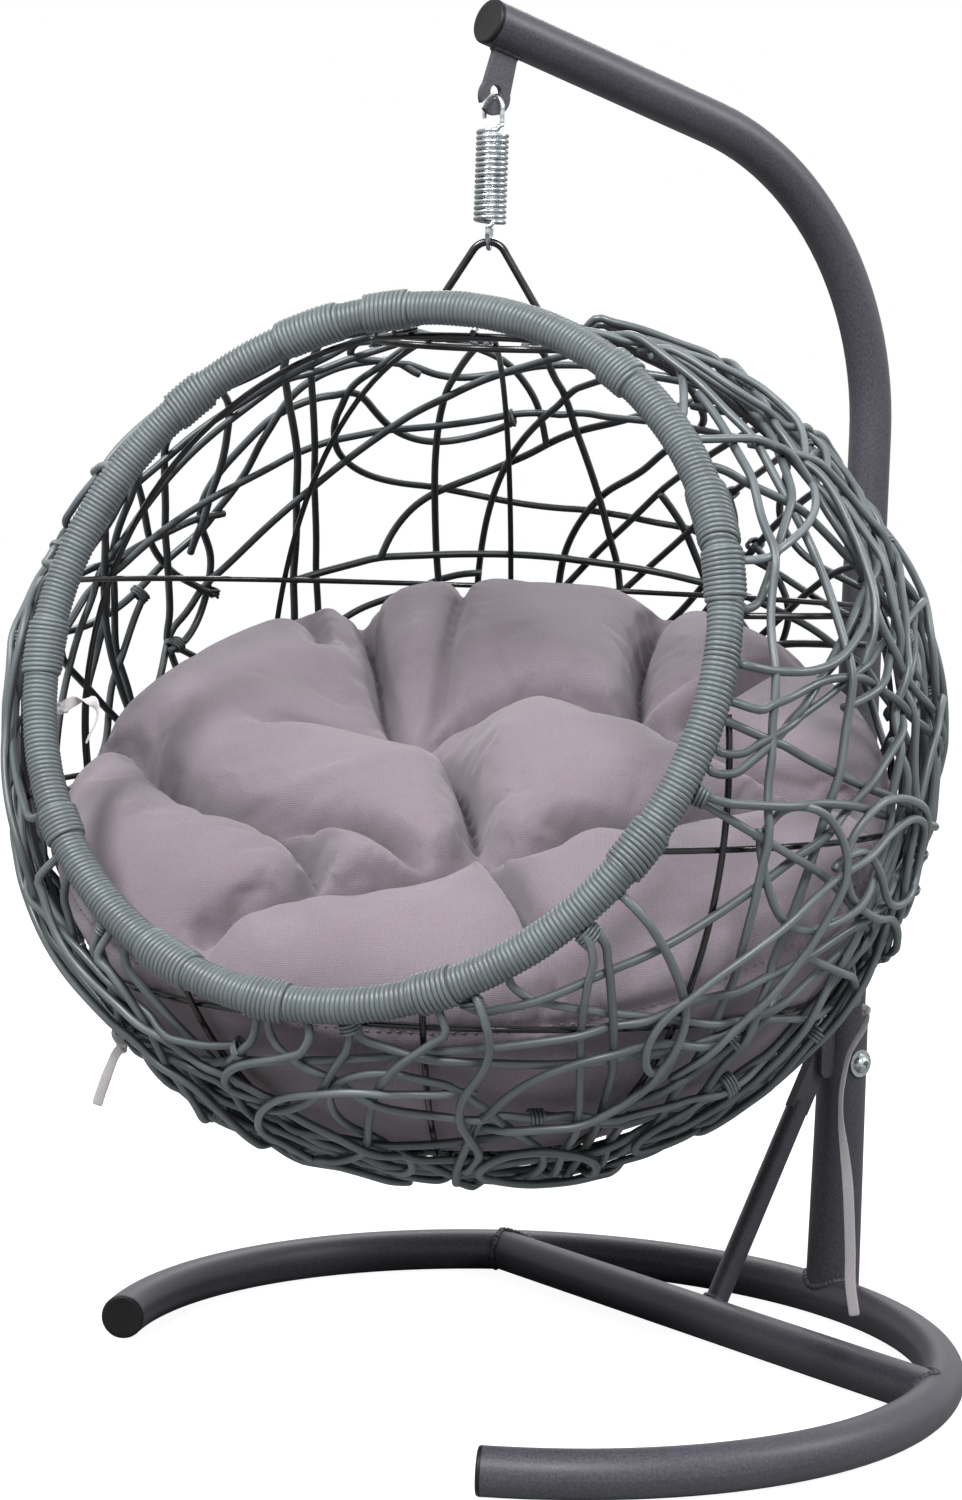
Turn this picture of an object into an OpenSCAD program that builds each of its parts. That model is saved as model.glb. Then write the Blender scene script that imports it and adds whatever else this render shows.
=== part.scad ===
// Hanging egg chair on a one-armed stand.
// Millimetres, +Z up. The origin is the middle of the ring-shaped base, on the floor.
// The open side of the base faces -Y and the post stands at +Y.

/* [Stand] */
// Outside diameter of the stand's steel tube
tube_d = 30; // [26:1:34]
// Wall of the stand's steel tube
tube_wall = 1.5; // [1:0.1:2.5]
// Radius of the ring-shaped base, to the middle of its tube
base_r = 280; // [265:1:320]
// Half of the base's open angle, at the front
base_gap = 46.5; // [35:0.5:60]
// Distance of the cross brace behind the base's middle
brace_y = 160; // [140:1:175]
// Distance of the post's axis behind the base tube's middle line
post_set_back = 7; // [0:1:10]
// Outside diameter of the lower post at its foot
post_foot_d = 39; // [38:0.5:42]
// Outside diameter of the lower post at its top
post_top_d = 34.5; // [34:0.5:38]
// Height of the lower post's top
post_h = 229; // [222:1:240]
// Depth to which the upper pole sits in the lower post
pole_insert = 115; // [70:1:150]
// Radial gap between the upper pole and the lower post
pole_gap = 0.15; // [0.1:0.05:0.3]
// Height of the arm's axis above the floor where the basket hangs
arm_z = 889.9; // [880:1:930]
// Distance from the pole's axis to the hanging axis
arm_reach = 350.5; // [346:1:400]
// Slope of the arm, rising to its tip
arm_slope = 13; // [5:1:18]
// Radius of the bend between pole and arm, to the middle of the tube
bend_r = 210; // [150:5:230]
// Length of tube past the hanging axis
arm_over = 4.5; // [3:0.5:10]
// Thickness of the flange of an end cap
cap_flange = 3; // [2:0.5:5]
// Length of an end cap's plug
cap_plug = 14; // [8:1:25]
// Radial gap between an end cap's plug and the tube
cap_gap = 0.1; // [0.05:0.05:0.3]

/* [Strut] */
// Outside diameter of the strut between brace and post
strut_d = 16; // [14:0.5:19]
// Distance of the strut's foot behind the cross brace's axis
strut_foot = 8; // [4:1:10]
// Height of the strut's upper end
strut_top_z = 196; // [185:1:205]
// Width of the strut's flattened end
tongue_w = 17; // [14:1:19]
// Thickness of the strut's flattened end
tongue_t = 7.4; // [5:0.2:9]
// Thickness of each ear of the strut bracket
ear_t = 4; // [3:0.5:6]
// Width of each ear, in front of the post
ear_reach = 13; // [9:1:16]
// Height of each ear
ear_h = 46; // [38:1:50]
// Gap between an ear and the flattened end
ear_gap = 0.2; // [0.1:0.1:0.4]

/* [Fasteners] */
// Thread diameter of the post bolt
bolt_d = 8; // [6:1:8]
// Height of the post bolt
bolt_z = 189; // [180:1:200]
// Diameter of the bolt's button head
bolt_head_d = 14; // [12:0.5:16]
// Height of the bolt's button head
bolt_head_h = 5.4; // [4:0.2:6]
// Width of the hexagon socket across its flats
bolt_socket = 5; // [4:0.5:6]
// Outside diameter of a washer
washer_d = 20; // [16:1:22]
// Thickness of a washer
washer_t = 1.6; // [1.2:0.2:2.4]
// Width of the nut across its flats
nut_af = 13; // [12:0.5:14]
// Thickness of the nut
nut_h = 8; // [6:0.5:9]
// Radial gap round the bolt
bolt_gap = 0.2; // [0.1:0.05:0.4]

/* [Hook plate and spring] */
// Thickness of the hook plate
plate_t = 4; // [3:0.5:5]
// Radius of the hook plate's round end
plate_r = 11.8; // [11:0.2:14]
// Diameter of the hole in the hook plate
plate_hole_d = 9; // [8:0.2:10]
// Distance from the arm's underside to the plate's hole
plate_drop = 27.5; // [24:0.5:34]
// Width of the slit that lets the spring's hook in
slit_w = 3.8; // [3.6:0.1:4.4]
// Diameter of the spring's wire
wire_d = 3; // [2.6:0.1:3.2]
// Radius of the coil, to the middle of the wire
coil_r = 9.3; // [9:0.1:10.5]
// Number of turns of the coil
coil_turns = 17; // [12:1:20]
// Height of one turn of the coil
coil_pitch = 3.45; // [3.45:0.05:3.8]
// Length of the upper hook's straight leg
upper_leg = 9; // [7:0.5:14]
// Length of the lower hook's straight leg
lower_leg = 2.5; // [2:0.5:8]
// Length of each hook's free end
hook_tail = 4.5; // [3:0.5:7]
// Gap under the upper hook in the plate's hole
hook_play = 0.8; // [0.7:0.05:0.9]
// Gap between the lower hook and the bail
bail_play = 0.3; // [0.2:0.05:0.5]

/* [Basket frame] */
// Radius to which a rib is bent, to its middle
rib_r = 268; // [264:1:272]
// Distance of a rib's bend centre from the basket's upright axis
waist_x = 23; // [14:1:28]
// Diameter of a rib or hoop
rib_d = 4; // [3:0.5:5]
// Number of ribs
rib_count = 10; // [8:1:12]
// Radius of the ring at the top of the frame
top_ring_r = 72; // [66:1:80]
// Radius of the ring at the bottom of the frame
bottom_ring_r = 40; // [34:1:44]
// Diameter of the two rings' rod
ring_rod_d = 5; // [4:0.5:6]
// Diameter of the bail's rod
bail_d = 5; // [4:0.5:6]
// Radius of the bend at the bail's top, to the middle of the rod
bail_r = 12; // [11:0.5:15]
// Angle between the bail's legs and the vertical
bail_angle = 32; // [28:1:38]
// Height of the bail's top above the top ring
bail_h = 65; // [60:1:80]
// Clearance between crossing rods
rod_gap = 0.1; // [0.05:0.05:0.3]

/* [Mouth] */
// Radius of the rim, to the middle of its tube
rim_r = 223; // [215:1:228]
// Outside diameter of the rim's steel tube
rim_tube_d = 16; // [14:0.5:17]
// Thickness of the wicker wound round the rim
rim_wrap_t = 3; // [2.5:0.1:3.5]
// Distance of the rim's plane inside the place where the rim would touch the ribs' middle
rim_back = 1.95; // [0:0.05:6]
// Sideways place of the rim's middle
rim_side = 5; // [0:1:8]
// Direction the mouth faces, from the stand's front towards +X
mouth_turn = 29.2; // [0:1:60]
// Upward tilt of the mouth
mouth_tilt = 21.4; // [15:1:30]

/* [Wicker] */
// Diameter of a wicker strand
strand_d = 5.4; // [4.6:0.2:5.4]
// Distance of the first layer of strands from the ribs' middle
layer_first = 5; // [5:0.1:6]
// Distance between one layer of strands and the next
layer_step = 5.9; // [5.8:0.1:6.5]
// Distance between neighbouring strands of a layer
strand_pitch = 45; // [36:1:60]
// Longest arc of one strand, in degrees
strand_span = 52; // [40:1:60]

/* [Cushion] */
// Tilt of the cushion towards the mouth
cushion_tilt = 25; // [15:1:32]
// Distance of the cushion's edge below the basket's middle
cushion_drop = 42; // [30:1:60]
// Clearance between cushion and hoops
cushion_gap = 0.4; // [0.3:0.1:2]
// Height of the cushion's crown over its edge
crown_h = 48; // [36:1:60]
// Height of the tuft over the cushion's edge
tuft_h = 18; // [6:1:24]
// Distance of the tuft behind the cushion's middle
tuft_back = 58; // [40:1:64]
// Depth of the folds between lobes
fold_d = 17; // [5:1:22]
// Half the width of a fold, in degrees round the cushion
fold_half = 12; // [8:1:18]
// Height of the cushion's flat underside over the bottom of its bowl
cushion_lift = 10; // [8:1:25]
// Diameter of a button
button_d = 19; // [15:0.5:22]
// Height of a button
button_h = 6; // [4:0.5:8]
// Clearance between a button and the cushion
button_gap = 0.3; // [0.2:0.05:0.5]

/* [Ties] */
// Width of a tie ribbon
tie_w = 7; // [6:0.5:8]
// Thickness of a tie ribbon
tie_t = 1.5; // [1.2:0.1:2]

/* [Hidden] */
$fn = 48;

steel = "#4b4a4f";
black_plastic = "#1d1d20";
zinc = "#c9ced1";
gloss_black = "#151618";
wicker = "#5f6b6c";
lilac = "#8d828c";
ribbon = "#b9b7b8";

// Height of the seam where a bend ends and a straight length starts
seam = 0.05;

// Stand: the post, the pole and the arm
tube_r = tube_d / 2;
post_y = base_r + post_set_back;
hang_y = post_y - arm_reach;
corner_z = arm_z - arm_reach * tan(arm_slope);
bend_turn = 90 - arm_slope;
bend_run_in = bend_r * tan(bend_turn / 2);
pole_foot_z = post_h - pole_insert;
pole_straight = corner_z - bend_run_in - pole_foot_z;
arm_straight = (arm_reach + arm_over) / cos(arm_slope) - bend_run_in;
post_bore_d = tube_d + 2 * pole_gap;
bore_r = tube_r - tube_wall;
brace_half = sqrt(base_r * base_r - brace_y * brace_y) - 0.5;

// Strut: from the brace up to the post
post_slope = (post_foot_d - post_top_d) / 2 / (post_h - tube_r);
strut_foot_y = brace_y + strut_foot;
strut_top_y = post_y - post_top_d / 2 - 5;
strut_run = strut_top_y - strut_foot_y;
strut_rise = strut_top_z - tube_r;
strut_len = norm([strut_run, strut_rise]);
strut_lean = atan2(strut_run, strut_rise);
tongue_len = 46;
tongue_lap = 6;
ear_z = bolt_z + 12;
ear_x = tongue_t / 2 + ear_gap;

// Fasteners
post_r_at_bolt = post_top_d / 2 + post_slope * (post_h - bolt_z);
washer_x = post_r_at_bolt + rod_gap;
bolt_shank = 2 * (washer_x + washer_t) + nut_h;
bolt_hole_d = bolt_d + 2 * bolt_gap;
dome_r = (bolt_head_d * bolt_head_d / 4 + bolt_head_h * bolt_head_h) / (2 * bolt_head_h);

// Hook plate and spring, from the arm downwards
plate_top_z = arm_z - tube_r / cos(arm_slope);
hole_z = plate_top_z - plate_drop;
plate_end_z = hole_z - 3;
plate_top_w = 18;
upper_apex_z = hole_z - plate_hole_d / 2 + hook_play + wire_d / 2;
riser = 4.5;
riser_bend = 3;
coil_top_z = upper_apex_z - coil_r - upper_leg - riser;
coil_bottom_z = coil_top_z - coil_turns * coil_pitch;
lower_apex_z = coil_bottom_z - riser - lower_leg - coil_r;
hook_turn = -45;

// Basket frame: each rib is one arc whose centre lies beside the basket's upright axis
bail_top_z = lower_apex_z + wire_d / 2 + bail_play + bail_d / 2;
top_ring_z = bail_top_z - bail_h;
frame_r = rib_r + waist_x;
ring_seat = rib_r - rib_d / 2 - ring_rod_d / 2 - rod_gap;
top_angle = acos((top_ring_r - waist_x) / ring_seat);
bottom_angle = acos((bottom_ring_r - waist_x) / ring_seat);
rib_overrun = 1.1;
basket_z = top_ring_z - ring_seat * sin(top_angle);
hoop_heights = [95, -40, -150];

// Mouth: the rim's plane
mouth_axis = [sin(mouth_turn) * cos(mouth_tilt), -cos(mouth_turn) * cos(mouth_tilt), sin(mouth_tilt)];
mouth_side = [cos(mouth_turn), sin(mouth_turn), 0];
rim_d = rim_tube_d + 2 * rim_wrap_t;
rim_out = sqrt(frame_r * frame_r - rim_r * rim_r) - rim_back;
rim_centre = rim_out * mouth_axis + rim_side * mouth_side;
rim_wall = 1.5;

// Wicker: three families of parallel planes cut the rounded basket
layer_axes = [[0.30, 0.60, 0.74], [0.87, -0.25, 0.42], [-0.57, 0.03, 0.82]];
layer_shift = [0, 0.26, 0.84];
end_gap = 2.2;
top_clear_r = top_ring_r + 12;
strand_mouth_gap = rim_d / 2 + strand_d / 2 + 0.5;

// Cushion: a tufted round pad that lies in the bowl of the basket
cushion_axis_turn = 40;
cushion_axis = [sin(cushion_tilt) * sin(cushion_axis_turn), -sin(cushion_tilt) * cos(cushion_axis_turn), cos(cushion_tilt)];
cushion_u = unit(cross([0, 1, 0], cushion_axis));
cushion_v = cross(cushion_axis, cushion_u);
cushion_inset = 6;
cushion_sectors = 56;
cushion_top_rings = 12;
cushion_low_rings = 8;
bowl_r = rib_r - 1.5 * rib_d - rod_gap - cushion_gap;
floor_z = -bowl_r + cushion_lift;
// Where each fold meets the cushion's edge, in degrees from cushion_u towards cushion_v
fold_turns = [41, 114, 148, 164, 230, 282, 329];
tuft_side = 10;
button_flat_r = button_d / 2 + 2;

// Ties: hand-placed routes, from the knot to the loose end, as shares of the frame's radius from the basket's middle
tie_rim_route = [
    [-0.311, -0.886, 0.054], [-0.31, -0.871, 0.065], [-0.302, -0.856, 0.076], [-0.289, -0.842, 0.081],
    [-0.271, -0.831, 0.081], [-0.256, -0.824, 0.072], [-0.247, -0.825, 0.053], [-0.244, -0.833, 0.032],
    [-0.244, -0.844, 0.012], [-0.247, -0.852, -0.01]];
tie_left_route = [
    [-0.469, -0.598, -0.716], [-0.475, -0.606, -0.726], [-0.482, -0.615, -0.741], [-0.487, -0.622, -0.762],
    [-0.492, -0.628, -0.783], [-0.497, -0.634, -0.807], [-0.502, -0.64, -0.832], [-0.507, -0.646, -0.859]];
tie_right_route = [
    [0.653, 0.619, -0.551], [0.659, 0.624, -0.559], [0.661, 0.626, -0.574], [0.656, 0.62, -0.6],
    [0.647, 0.608, -0.627], [0.639, 0.596, -0.658], [0.633, 0.589, -0.708], [0.631, 0.585, -0.76],
    [0.633, 0.588, -0.814], [0.639, 0.596, -0.877], [0.645, 0.604, -0.946], [0.649, 0.61, -1.025],
    [0.653, 0.614, -1.104], [0.655, 0.617, -1.174], [0.663, 0.626, -1.246]];

function unit(v) = v / norm(v);

// The basket's rounded surfaces: all points at one distance from the circle of the ribs' centres
function oval(p) = norm([norm([p.x, p.y]) - waist_x, p.z]);
// Distance along a direction, from a point inside, to the rounded surface of a bend radius
function oval_reach(from, dir, radius, s, n = 18) = n == 0 ? s
    : oval_reach(from, dir, radius, s + (radius - oval(from + s * dir)) / 0.75, n - 1);

// ---- shared shapes ----

// Ring-shaped section of a tube
module tube_section(d, wall) {
    difference() {
        circle(d = d);
        circle(d = d - 2 * wall);
    }
}

// Points of a swept tube: an ellipse of n corners at each point of the path
function path_dir(p, i) = unit(p[min(i + 1, len(p) - 1)] - p[max(i - 1, 0)]);
function swept_ring(p, i, across, w, t, n) = let(d = path_dir(p, i), a = unit(cross(across, d)), b = cross(d, a))
    [for (k = [0:n - 1]) p[i] + a * (t / 2) * cos(360 * k / n) + b * (w / 2) * sin(360 * k / n)];
function swept_faces(m, n) = concat(
    [for (i = [0:m - 2], k = [0:n - 1]) [i * n + k, (i + 1) * n + k, i * n + (k + 1) % n]],
    [for (i = [0:m - 2], k = [0:n - 1]) [(i + 1) * n + k, (i + 1) * n + (k + 1) % n, i * n + (k + 1) % n]],
    [for (k = [1:n - 2]) [0, k, k + 1]],
    [for (k = [1:n - 2]) [(m - 1) * n, (m - 1) * n + k + 1, (m - 1) * n + k]]);

// ---- stand ----

module base_torus(d) {
    translate([0, 0, tube_r]) rotate_extrude() translate([base_r, 0]) circle(d = d);
}

module base_ring() {
    color(steel) translate([0, 0, tube_r]) rotate([0, 0, base_gap - 90])
        rotate_extrude(angle = 360 - 2 * base_gap) translate([base_r, 0]) tube_section(tube_d, tube_wall);
}

module cross_brace() {
    color(steel) difference() {
        translate([-brace_half, brace_y, tube_r]) rotate([0, 90, 0])
            linear_extrude(2 * brace_half) tube_section(tube_d, tube_wall);
        base_torus(tube_d);
    }
}

// End cap: a chamfered flange and a plug that goes into the tube, flange towards +Z
module end_cap() {
    rotate_extrude() polygon([[0, -cap_plug], [bore_r - cap_gap - 1, -cap_plug], [bore_r - cap_gap, 1 - cap_plug],
        [bore_r - cap_gap, 0], [tube_r, 0], [tube_r, cap_flange - 1.2], [tube_r - 1.2, cap_flange], [0, cap_flange]]);
}

module base_caps() {
    color(black_plastic) {
        translate([0, 0, tube_r]) rotate([0, 0, base_gap - 90]) translate([base_r, 0, 0])
            rotate([90, 0, 0]) end_cap();
        translate([0, 0, tube_r]) rotate([0, 0, -base_gap - 90]) translate([base_r, 0, 0])
            rotate([-90, 0, 0]) end_cap();
    }
}

module post_outside() {
    translate([0, post_y, tube_r]) cylinder(h = post_h - tube_r, d1 = post_foot_d, d2 = post_top_d);
}

module bolt_bore() {
    translate([-base_r, post_y, bolt_z]) rotate([0, 90, 0]) cylinder(h = 2 * base_r, d = bolt_hole_d);
}

module lower_post() {
    color(steel) difference() {
        post_outside();
        translate([0, post_y, 0]) cylinder(h = post_h + 1, d = post_bore_d);
        base_torus(tube_d);
        bolt_bore();
    }
}

module strut() {
    color(steel) difference() {
        translate([0, strut_foot_y, tube_r]) rotate([-strut_lean, 0, 0]) {
            cylinder(h = strut_len - tongue_len + tongue_lap, d = strut_d);
            translate([-tongue_t / 2, -tongue_w / 2, strut_len - tongue_len])
                cube([tongue_t, tongue_w, tongue_len]);
        }
        translate([-brace_half, brace_y, tube_r]) rotate([0, 90, 0]) cylinder(h = 2 * brace_half, d = tube_d);
        post_outside();
    }
}

// Two upright ears on the post, one on each side of the strut's flattened end
module strut_bracket() {
    color(steel) difference() {
        for (side = [-1, 1])
            translate([side * (ear_x + ear_t / 2), post_y - post_top_d / 2 - ear_reach / 2 + 2, ear_z])
                rotate([0, 90, 0]) {
                    translate([0, (ear_reach + 4) / 2 - ear_reach / 2, 0])
                        cube([ear_h - ear_reach, ear_reach + 4, ear_t], center = true);
                    for (end = [-1, 1]) translate([end * (ear_h - ear_reach) / 2, 0, 0])
                        cylinder(h = ear_t, d = ear_reach, center = true);
                }
        post_outside();
    }
}

// Upright pole, bend and arm as one tube, worked out from the bend's centre
module pole_arm() {
    color(steel) difference() {
        translate([0, post_y - bend_r, pole_foot_z + pole_straight]) rotate([90, 0, 90]) {
            rotate_extrude(angle = bend_turn) translate([bend_r, 0]) tube_section(tube_d, tube_wall);
            translate([bend_r, 0, 0]) rotate([90, 0, 0]) linear_extrude(pole_straight) tube_section(tube_d, tube_wall);
            rotate([0, 0, bend_turn]) translate([bend_r, 0, 0]) rotate([-90, 0, 0])
                linear_extrude(arm_straight) tube_section(tube_d, tube_wall);
            rotate([0, 0, bend_turn]) translate([bend_r, -0.5, 0]) rotate([-90, 0, 0])
                linear_extrude(1) tube_section(tube_d + 2 * seam, tube_wall + 2 * seam);
        }
        bolt_bore();
    }
}

// Moves its children to the arm's open end, +Z along the arm and away from the post
module at_arm_end() {
    translate([0, hang_y - arm_over, arm_z + arm_over * tan(arm_slope)]) rotate([90 - arm_slope, 0, 0]) children();
}

module arm_cap() {
    color(black_plastic) at_arm_end() end_cap();
}

module hook_plate() {
    color(steel) difference() {
        union() {
            translate([-plate_t / 2, hang_y, plate_end_z]) rotate([0, 90, 0]) cylinder(h = plate_t, r = plate_r);
            translate([-plate_t / 2, 0, 0]) rotate([90, 0, 90]) linear_extrude(plate_t)
                polygon([[hang_y - plate_r + 0.5, plate_end_z], [hang_y - 1, plate_top_z + 2],
                    [hang_y + plate_top_w, plate_top_z + 2], [hang_y + plate_r - 0.5, plate_end_z]]);
        }
        translate([-plate_t, hang_y, hole_z]) rotate([0, 90, 0]) cylinder(h = 2 * plate_t, d = plate_hole_d);
        translate([0, hang_y, hole_z]) rotate([45, 0, 0]) translate([-plate_t, -2 * plate_r, -slit_w / 2])
            cube([2 * plate_t, 2 * plate_r, slit_w]);
        at_arm_end() translate([0, 0, -3 * plate_r]) cylinder(h = 6 * plate_r, d = tube_d, center = true);
    }
}

module post_bolt() {
    color(zinc) translate([washer_x + washer_t, post_y, bolt_z]) rotate([0, 90, 0]) {
        translate([0, 0, -bolt_shank]) cylinder(h = bolt_shank, d = bolt_d);
        difference() {
            intersection() {
                translate([0, 0, bolt_head_h - dome_r]) sphere(r = dome_r);
                cylinder(h = bolt_head_h, d = bolt_head_d);
            }
            translate([0, 0, bolt_head_h - 3]) cylinder(h = 4, d = bolt_socket / cos(30), $fn = 6);
        }
    }
}

module washer() {
    difference() {
        cylinder(h = washer_t, d = washer_d);
        translate([0, 0, -1]) cylinder(h = washer_t + 2, d = bolt_hole_d);
    }
}

module bolt_washers() {
    color(zinc) translate([0, post_y, bolt_z]) rotate([0, 90, 0]) {
        translate([0, 0, washer_x]) washer();
        translate([0, 0, -washer_x - washer_t]) washer();
    }
}

module bolt_nut() {
    color(zinc) translate([-washer_x - washer_t, post_y, bolt_z]) rotate([0, -90, 0]) difference() {
        cylinder(h = nut_h, d = nut_af / cos(30), $fn = 6);
        translate([0, 0, -1]) cylinder(h = nut_h + 2, d = bolt_hole_d);
    }
}

// ---- spring ----

// The coil's middle line: a riser, the turns, and a riser again
coil_start = hook_turn + riser_bend / coil_r * 180 / PI;
coil_end = 360 * coil_turns - riser_bend / coil_r * 180 / PI;
coil_steps = 8 * coil_turns;
bend_mid = riser_bend * (1 - cos(45));
function coil_point(angle, z) = [coil_r * cos(angle), hang_y + coil_r * sin(angle), z];
function mid_angle() = bend_mid / coil_r * 180 / PI;
coil_path = concat(
    [coil_point(hook_turn, coil_bottom_z - riser), coil_point(hook_turn, coil_bottom_z - riser_bend),
        coil_point(hook_turn + mid_angle(), coil_bottom_z - bend_mid)],
    [for (i = [0:coil_steps]) coil_point(coil_start + (coil_end - coil_start) * i / coil_steps,
        coil_bottom_z + coil_turns * coil_pitch * i / coil_steps)],
    [coil_point(-mid_angle(), coil_top_z + bend_mid), coil_point(0, coil_top_z + riser_bend),
        coil_point(0, coil_top_z + riser)]);
coil_gap = min([for (i = [0:len(coil_path) - 1]) for (j = [i + 5:1:len(coil_path) - 1])
    norm(coil_path[i] - coil_path[j])]) - wire_d;

module spring_coil() {
    echo(least_gap_between_turns = coil_gap);
    rings = [for (i = [0:len(coil_path) - 1])
        swept_ring(coil_path, i, [coil_path[i].x, coil_path[i].y - hang_y, 0], wire_d, wire_d, 6)];
    color(zinc) polyhedron([for (r = rings) each r], swept_faces(len(coil_path), 6), convexity = 10);
}

// A hook of wire round the origin, open towards -Z, with its long leg at +X
module wire_hook(leg) {
    rotate([90, 0, 0]) rotate_extrude(angle = 180) translate([coil_r, 0]) circle(d = wire_d);
    translate([coil_r, 0, -leg]) cylinder(h = leg, d = wire_d);
    translate([-coil_r, 0, -hook_tail]) cylinder(h = hook_tail, d = wire_d);
}

module upper_hook() {
    color(zinc) translate([0, hang_y, upper_apex_z - coil_r]) wire_hook(upper_leg);
}

module lower_hook() {
    color(zinc) translate([0, hang_y, lower_apex_z + coil_r]) rotate([0, 0, hook_turn])
        mirror([0, 0, 1]) wire_hook(lower_leg);
}

// ---- basket frame ----

module in_basket() {
    translate([0, hang_y, basket_z]) children();
}

// Moves its children to the rim's middle, +Z out of the mouth
module in_mouth() {
    in_basket() translate(rim_centre) rotate([0, 0, mouth_turn]) rotate([90 - mouth_tilt, 0, 0]) children();
}

// The bail's legs go down from its bend to a ball of weld, then out to the top ring
bail_arc = 90 - bail_angle;
knee_up = 15;
knee_ball_d = bail_d + 1.2;
leg_len = (bail_h - knee_up - bail_r * (1 - cos(bail_arc))) / cos(bail_angle);
knee_x = bail_r * sin(bail_arc) + leg_len * sin(bail_angle);
foot_run = top_ring_r - knee_x;

module bail_leg() {
    translate([0, 0, -bail_r]) rotate([0, bail_arc, 0]) translate([0, 0, bail_r]) rotate([0, 90, 0]) {
        cylinder(h = leg_len, d = bail_d);
        translate([0, 0, -0.5]) cylinder(h = 1, d = bail_d + 2 * seam);
    }
    translate([knee_x, 0, knee_up - bail_h]) {
        sphere(d = knee_ball_d);
        rotate([0, 180 - atan2(foot_run, knee_up), 0])
            cylinder(h = norm([foot_run, knee_up]) - rod_gap, d = bail_d);
    }
}

module bail() {
    color(gloss_black) difference() {
        translate([0, hang_y, bail_top_z]) rotate([0, 0, -hook_turn]) {
            translate([0, 0, -bail_r]) rotate([90, 0, 0]) rotate([0, 0, 90 - bail_arc])
                rotate_extrude(angle = 2 * bail_arc) translate([bail_r, 0]) circle(d = bail_d);
            bail_leg();
            mirror([1, 0, 0]) bail_leg();
        }
        ring_torus(top_ring_r, ring_seat * sin(top_angle), ring_rod_d + 2 * rod_gap);
    }
}

// A ring of rod round the basket's axis, at a height over the basket's middle
module ring_torus(radius, z, d) {
    in_basket() translate([0, 0, z]) rotate_extrude() translate([radius, 0]) circle(d = d);
}

module top_ring() {
    color(gloss_black) ring_torus(top_ring_r, ring_seat * sin(top_angle), ring_rod_d);
}

module bottom_ring() {
    color(gloss_black) ring_torus(bottom_ring_r, -ring_seat * sin(bottom_angle), ring_rod_d);
}

// Ribs and hoops end square behind the rim, where the distance out to the mouth is this
mouth_reach = rim_out - rim_d / 2 - rib_d / 2 - rod_gap;

// Clear stretches of a rib, as [from, to] angles in its own circle, at an angle round from the mouth
function rib_stretches(turn) = let(
    low = -bottom_angle - rib_overrun, high = top_angle + rib_overrun,
    a = rib_r * cos(turn) * cos(mouth_tilt), b = rib_r * sin(mouth_tilt),
    out = (mouth_reach - waist_x * cos(turn) * cos(mouth_tilt)) / norm([a, b]), middle = atan2(b, a))
    out >= 1 ? [[low, high]]
    : [for (s = [[low, min(high, middle - acos(out))], [max(low, middle + acos(out)), high]])
        if (s[1] > s[0] + 1) s];

module frame_ribs() {
    color(gloss_black) in_basket() for (i = [0:rib_count - 1]) {
        turn = 360 * (i + 0.5) / rib_count;
        for (s = rib_stretches(turn)) rotate([0, 0, mouth_turn - 90 + turn]) translate([waist_x, 0, 0])
            rotate([90, 0, 0]) rotate([0, 0, s[0]]) rotate_extrude(angle = s[1] - s[0])
                translate([rib_r, 0]) circle(d = rib_d);
    }
}

// Radius of a hoop inside the ribs at a height over the basket's middle, and half the angle that the mouth takes
function hoop_r(z) = waist_x + sqrt(pow(rib_r - rib_d - rod_gap, 2) - z * z);
function hoop_open(z) = let(out = (mouth_reach - z * sin(mouth_tilt)) / (hoop_r(z) * cos(mouth_tilt)))
    out >= 1 ? 0 : acos(out);

module frame_hoops() {
    color(gloss_black) in_basket() for (z = hoop_heights)
        translate([0, 0, z]) rotate([0, 0, mouth_turn - 90 + hoop_open(z)])
            rotate_extrude(angle = 360 - 2 * hoop_open(z)) translate([hoop_r(z), 0]) circle(d = rib_d);
}

module rim_tube() {
    color(gloss_black) in_mouth() rotate_extrude() translate([rim_r, 0]) tube_section(rim_tube_d, rim_wall);
}

module rim_wrap() {
    color(wicker) in_mouth() rotate_extrude() translate([rim_r, 0])
        tube_section(rim_d, rim_wrap_t - rod_gap);
}

// ---- wicker ----

// A point where a plane of a layer meets the rounded surface, at an angle round the plane's own middle
function layer_r(k) = rib_r + layer_first + k * layer_step;
function layer_extent(k) = let(g = unit(layer_axes[k])) layer_r(k) + waist_x * norm([g.x, g.y]);
function on_layer(k, offset, angle) = let(
    g = unit(layer_axes[k]), u = unit(cross([0, 0, 1], g)), v = cross(g, u),
    d = u * cos(angle) + v * sin(angle))
    g * offset + d * oval_reach(g * offset, d, layer_r(k), sqrt(pow(layer_r(k), 2) - offset * offset));
function is_clear(p) = (p - rim_centre) * mouth_axis < -strand_mouth_gap
    && (p.z < 0 || norm([p.x, p.y]) > top_clear_r);

// The last clear angle between a clear one and one that isn't
function edge_angle(k, offset, good, bad, n = 12) = n == 0 ? good
    : let(mid = (good + bad) / 2)
        is_clear(on_layer(k, offset, mid)) ? edge_angle(k, offset, mid, bad, n - 1)
        : edge_angle(k, offset, good, mid, n - 1);

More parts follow.
